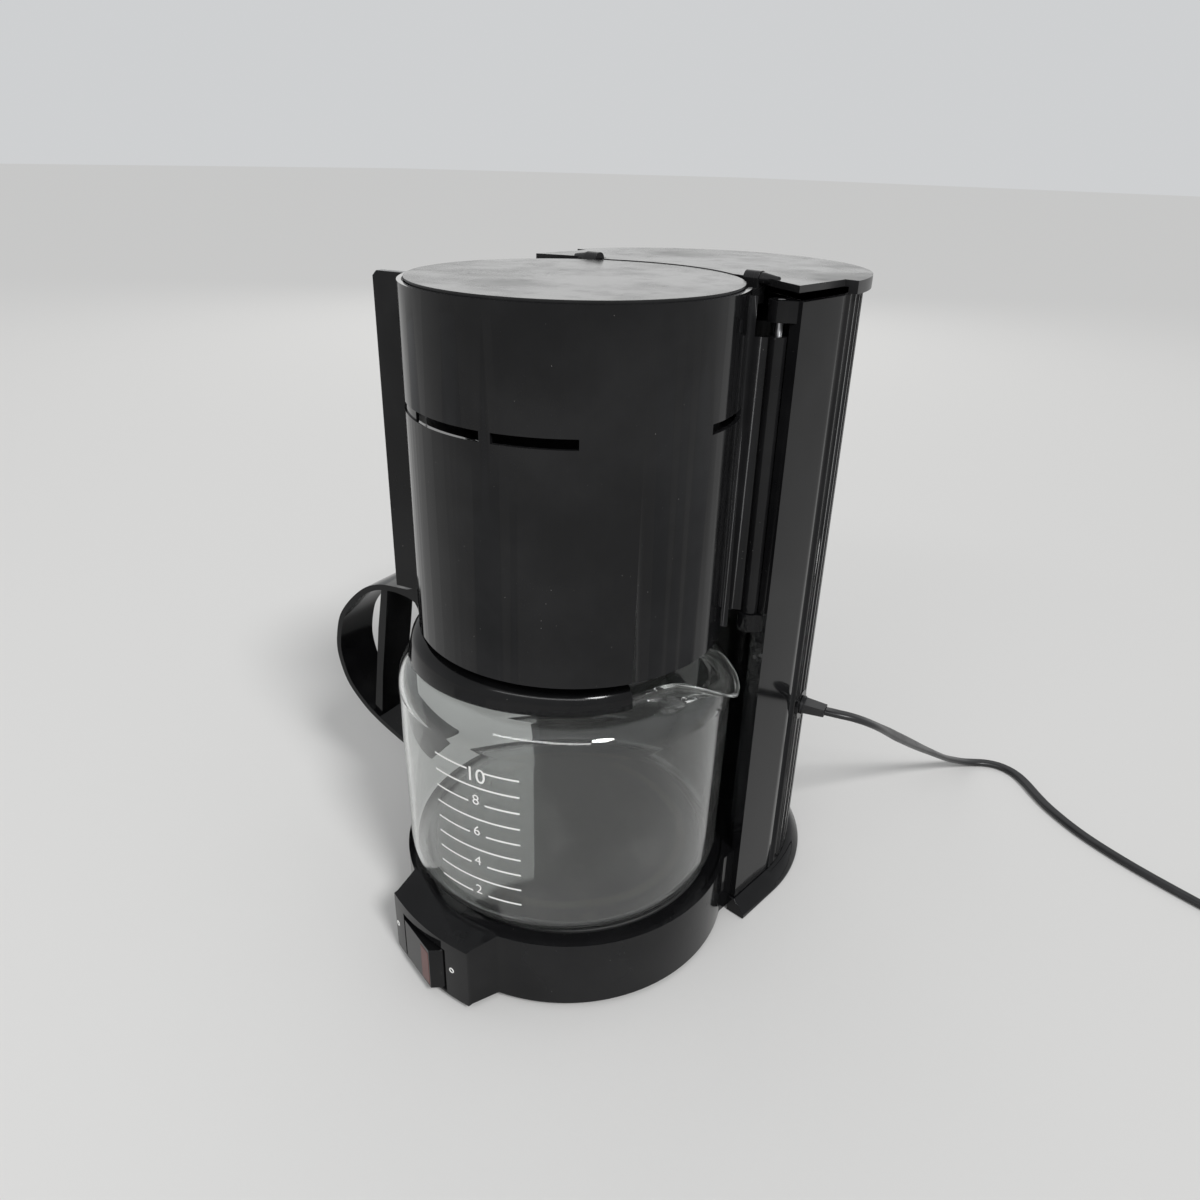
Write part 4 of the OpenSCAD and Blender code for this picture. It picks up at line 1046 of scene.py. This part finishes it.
@dataclass
class Lead:
    """The flat mains lead, from its exit to the plug. Sizes are in millimetres."""

    shop: Shop
    start: Point = (85.29, 94.64, 104.0)
    route: tuple[Point, ...] = (
        (88.4, 95.6, 104.1), (91.5, 97.2, 103.8), (96, 100.9, 102.6), (99.7, 105.8, 100.1),
        (102.2, 111.6, 96.5), (103.3, 118.3, 92), (103.5, 126, 86.7), (103.3, 135, 80.5),
        (103, 145, 73.5), (102.6, 156, 66), (102.2, 168, 57.8), (101.8, 181, 49), (101.5, 195, 39.6),
        (101.5, 209, 30.3), (102, 222, 21.7), (103, 234, 14), (105, 245, 8), (108, 254, 3.8),
        (112, 260.8, 1.9), (117.5, 265.8, 1.6), (124, 268.7, 1.6), (131, 269, 1.6), (138, 266.8, 1.6),
        (145, 262.2, 1.6), (155, 254, 1.6), (164, 247.6, 1.6), (177, 240.5, 1.6), (190, 235, 1.6),
        (205, 230.5, 1.6), (220, 227, 1.6), (235, 224.3, 1.6), (250, 222, 1.6), (264, 220.3, 1.6))
    coil_centre: tuple[float, float] = (292.0, 249.3)
    coil_radius: float = 32.0
    width: float = 5.6
    thickness: float = 3.2
    plug_gap: float = 20.0
    coil_start: float = -104.0
    coil_end: float = 720.0
    coil_steps: int = 74
    twist_turn: float = 62.0
    twist_share: float = 0.09
    twist_span: float = 0.035

    def centreline(self) -> list[Vector]:
        """Returns the line of the whole lead: the route, the turns of the coil and the way to the plug."""
        line = [Vector(self.start)] + [Vector(p) for p in self.route]
        cx, cy = self.coil_centre
        outer, inner = self.coil_radius + self.width / 2, self.coil_radius - self.width / 2
        low, high = self.thickness / 2, self.thickness * 1.5
        for k in range(self.coil_steps + 1):
            angle = self.coil_start + (self.coil_end - self.coil_start) * k / self.coil_steps
            inward = fade((angle - self.coil_start - 250.0) / 110.0)
            outward = fade((angle - self.coil_end + 160.0) / 110.0)
            radius = outer + (inner - outer) * inward * (1.0 - outward)
            height = low + (high - low) * fade((angle - self.coil_end + 180.0) / 70.0)
            a = math.radians(angle)
            line.append(Vector((cx + radius * math.cos(a), cy + radius * math.sin(a), height)))
        last = line[-1]
        line.append(Vector((last.x, cy + self.plug_gap * 0.5, high * 0.85)))
        line.append(Vector((last.x, cy + self.plug_gap + 0.2, self.thickness)))
        return line

    def smoothed(self, line: list[Vector], steps: int = 5) -> list[Vector]:
        """Returns a smooth curve through the points.

        Args:
            line: the points.
            steps: the pieces between two points.
        """
        ends = [2 * line[0] - line[1], *line, 2 * line[-1] - line[-2]]
        curve = []
        for i in range(1, len(ends) - 2):
            a, b, c, d = ends[i - 1:i + 3]
            for k in range(steps):
                t = k / steps
                curve.append(0.5 * (2 * b + (c - a) * t + (2 * a - 5 * b + 4 * c - d) * t * t
                                    + (3 * b - a - 3 * c + d) * t ** 3))
        return curve + [line[-1]]

    def section(self) -> list[tuple[float, float]]:
        """Returns the outline of two round cores side by side, as offsets across and up."""
        half = self.thickness / 2
        shift = self.width / 2 - half
        turns = [math.radians(a) for a in range(-105, 106, 30)]
        right = [(shift + half * math.cos(a), half * math.sin(a)) for a in turns]
        return right + [(-x, -z) for x, z in right]

    def twist(self, share: float) -> float:
        """Returns the turn of the flat section in degrees at a share of the way to the table."""
        return self.twist_turn * math.exp(-((share - self.twist_share) / self.twist_span) ** 2)

    def tube(self) -> tuple[bpy.types.Object, list[Vector]]:
        """Sweeps the section along the line.

        Returns:
            The mesh and its centreline in millimetres.
        """
        curve = self.smoothed(self.centreline())
        outline = self.section()
        points = []
        for i, centre in enumerate(curve):
            along = (curve[min(i + 1, len(curve) - 1)] - curve[max(i - 1, 0)]).normalized()
            across = along.cross(Vector((0.0, 0.0, 1.0))).normalized()
            up = across.cross(along)
            turn = math.radians(self.twist(i / len(curve)))
            wide = across * math.cos(turn) - up * math.sin(turn)
            tall = across * math.sin(turn) + up * math.cos(turn)
            points += [(centre + wide * x + tall * z) * MM for x, z in outline]
        return mesh_piece("mains_lead", points, swept_faces(len(curve), len(outline))), curve

    def build(self) -> None:
        lead, curve = self.tube()
        turn_outward(lead)
        smooth(lead, 50.0)
        self.shop.join(lead, Body.MACHINE, "lead", "power_cord", "cord_coil")
        plug = self.shop.refine_node("plug_body", Body.MACHINE, 1.2, 40.0)
        self.shop.paint_node("plug_blades")
        relief = self.shop.refine_node("strain_relief", Body.MACHINE, 0.3, 40.0)
        length = sum((b - a).length for a, b in zip(curve, curve[1:])) * MM
        log.info("lead of %.3f m", length)
        tuple(c * MM for c in self.start)
        self.width * MM
        [tuple(p * MM) for p in curve]
        self.shop.node("plug_blades")


@dataclass
class Machine:
    """The base, the column, the brew head and the filter, dressed from their solids."""

    shop: Shop
    edges: dict[str, tuple[Body, float]] = field(default_factory=lambda: {
        "base_shell": (Body.MACHINE, 0.7), "base_plate": (Body.MACHINE, 0.0), "base_screws": (Body.MACHINE, 0.0),
        "rubber_feet": (Body.MACHINE, 0.3), "hot_plate": (Body.MACHINE, 0.3), "plate_seal": (Body.MACHINE, 0.0),
        "heater": (Body.MACHINE, 0.0), "heater_clamp": (Body.MACHINE, 0.0), "thermostat": (Body.MACHINE, 0.0),
        "thermal_fuse": (Body.MACHINE, 0.0), "cold_hose": (Body.MACHINE, 0.0), "check_valve": (Body.MACHINE, 0.0),
        "riser_tube": (Body.MACHINE, 0.0), "column_housing": (Body.MACHINE, 0.0), "column_front": (Body.MACHINE, 0.0),
        "column_floor": (Body.MACHINE, 0.0), "column_screws": (Body.MACHINE, 0.0), "plinth": (Body.MACHINE, 0.3),
        "water_tank": (Body.MACHINE, 0.0), "brew_head": (Body.MACHINE, 0.3), "spray_plate": (Body.MACHINE, 0.0),
        "lid_hinge_pins": (Body.MACHINE, 0.0), "filter_hinge_pin": (Body.MACHINE, 0.0),
        "tank_lid": (Body.LID, 0.3), "filter_housing": (Body.FILTER, 0.5), "filter_basket": (Body.FILTER, 0.0),
        "drip_valve": (Body.VALVE, 0.0), "switch_body": (Body.MACHINE, 0.3),
        "rocker_pin": (Body.MACHINE, 0.0), "switch_terminals": (Body.MACHINE, 0.0), "rocker": (Body.ROCKER, 0.4),
        "rocker_lens": (Body.ROCKER, 0.2),
    })
    finishes: dict[str, str] = field(default_factory=lambda: {
        "filter_housing": "shell", "brew_head": "lid", "tank_lid": "lid",
    })

    valve_lift: float = 0.002

    def build(self) -> None:
        """Refines every solid of the machine."""
        for name, (body, edge) in self.edges.items():
            self.shop.refine_node(name, body, edge, finish=self.finishes.get(name, ""))
        self.spring()

    def spring(self) -> None:
        """Copies the drip valve's spring and gives the copy a mesh of its own."""
        low, high = (corner[2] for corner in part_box("drip_spring"))
        spring = self.shop.refine_node("drip_spring", Body.FILTER)
        1.0 - self.valve_lift / (high - low)
        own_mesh(spring)


# ---------- studio ----------


@dataclass
class Studio:
    """The floor, the light and the camera. Sizes are in metres and degrees."""

    azimuth: float = 42.372
    elevation: float = 25.784
    roll: float = 1.565
    stand: Point = (0.263549, -0.269670, 0.350051)
    focal: float = 27.575
    floor_colour: Colour = (0.74, 0.735, 0.725)
    floor_size: float = 36.0
    floor_drop: float = 0.0004
    room_colour: Colour = (0.97, 0.985, 1.0)
    room_light: float = 0.42
    room_seen: float = 0.64

    def camera(self) -> None:
        """Places the camera."""
        a, e, r = (math.radians(x) for x in (self.azimuth, self.elevation, self.roll))
        back = Vector((math.sin(a) * math.cos(e), -math.cos(a) * math.cos(e), math.sin(e)))
        right = Vector((math.cos(a), math.sin(a), 0.0))
        up = right.cross(-back)
        across = right * math.cos(r) + up * math.sin(r)
        upward = up * math.cos(r) - right * math.sin(r)
        data = bpy.data.cameras.new("camera")
        data.sensor_width = 36.0
        data.lens = self.focal
        data.clip_start = 0.01
        data.clip_end = 20.0
        camera = bpy.data.objects.new("camera", data)
        turn = Matrix((across, upward, back)).transposed().to_4x4()
        camera.matrix_world = Matrix.Translation(Vector(self.stand)) @ turn
        bpy.context.scene.collection.objects.link(camera)
        bpy.context.scene.camera = camera

    def floor(self) -> None:
        """Lays the floor."""
        pick_nothing()
        bpy.ops.mesh.primitive_plane_add(size=self.floor_size, location=(0.0, 0.0, -self.floor_drop))
        floor = bpy.context.object
        floor.name = "floor"
        dress(floor, Floor("pale_floor", self.floor_colour).build())

    def lamp(self, name: str, place: Point, target: Point, size: tuple[float, float], power: float,
             colour: Colour) -> None:
        """Hangs one soft lamp.

        Args:
            name: the lamp's name.
            place: where it hangs.
            target: what it points at.
            size: the width and height of its face.
            power: its power in watts.
            colour: the colour of its light.
        """
        data = bpy.data.lights.new(name, "AREA")
        data.shape = "RECTANGLE"
        data.size, data.size_y = size
        data.energy = power
        data.color = colour
        lamp = bpy.data.objects.new(name, data)
        lamp.location = place
        aim = Vector(target) - Vector(place)
        lamp.rotation_euler = aim.to_track_quat("-Z", "Y").to_euler()
        bpy.context.scene.collection.objects.link(lamp)

    def sun(self, name: str, azimuth: float, elevation: float, spread: float, power: float) -> None:
        """Sets one distant lamp, which lights the whole floor evenly.

        Args:
            name: the lamp's name.
            azimuth: where it stands, in degrees from -Y turning to +X.
            elevation: its height above the horizon in degrees.
            spread: the width of its disc in degrees, which softens the shadow.
            power: its power in watts a square metre.
        """
        data = bpy.data.lights.new(name, "SUN")
        data.angle = math.radians(spread)
        data.energy = power
        lamp = bpy.data.objects.new(name, data)
        a, e = math.radians(azimuth), math.radians(elevation)
        towards = Vector((math.sin(a) * math.cos(e), -math.cos(a) * math.cos(e), math.sin(e)))
        lamp.rotation_euler = (-towards).to_track_quat("-Z", "Y").to_euler()
        bpy.context.scene.collection.objects.link(lamp)

    def sky(self) -> None:
        """Lights the room: pale to the camera, in gloss and through glass, dimmer on dull surfaces."""
        world = bpy.data.worlds.new("room")
        bpy.context.scene.world = world
        s = Sheet(world)
        larger = {"operation": "MAXIMUM"}
        eye, gloss, through = (s.node("ShaderNodeLightPath", output=f"Is {ray} Ray")
                               for ray in ("Camera", "Glossy", "Transmission"))
        seen = s.node("ShaderNodeMath", larger, {0: eye, 1: s.node("ShaderNodeMath", larger, {0: gloss, 1: through})})
        strength = s.node("ShaderNodeMapRange", None,
                          {"Value": seen, "To Min": self.room_light, "To Max": self.room_seen})
        glow = s.node("ShaderNodeBackground", None, {"Color": (*self.room_colour, 1.0), "Strength": strength})
        s.close(glow, "ShaderNodeOutputWorld")

    def build(self) -> None:
        """Sets up the whole studio."""
        bpy.context.scene.view_settings.view_transform = "Standard"
        self.camera()
        self.floor()
        self.sky()
        self.sun("key", azimuth=74.0, elevation=46.0, spread=12.0, power=1.6)
        self.lamp("back_window", (-1.25, 1.35, 1.15), (0.0, 0.05, 0.2), (1.5, 1.5), 4.6, (1.0, 0.99, 0.96))
        self.lamp("top_strip", (0.5, -0.95, 1.15), (0.0, 0.0, 0.15), (1.5, 0.16), 5.0, (1.0, 1.0, 1.0))
        log.info("studio ready")


def main() -> None:
    """Builds the scene."""
    logging.basicConfig(level=logging.INFO, format="%(message)s")
    shop = Shop.open()
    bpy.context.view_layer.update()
    Studio().build()
    Lead(shop).build()
    Machine(shop).build()
    Jug(shop).build()
    SwitchMarks(shop).build()


if __name__ == "__main__":
    main()
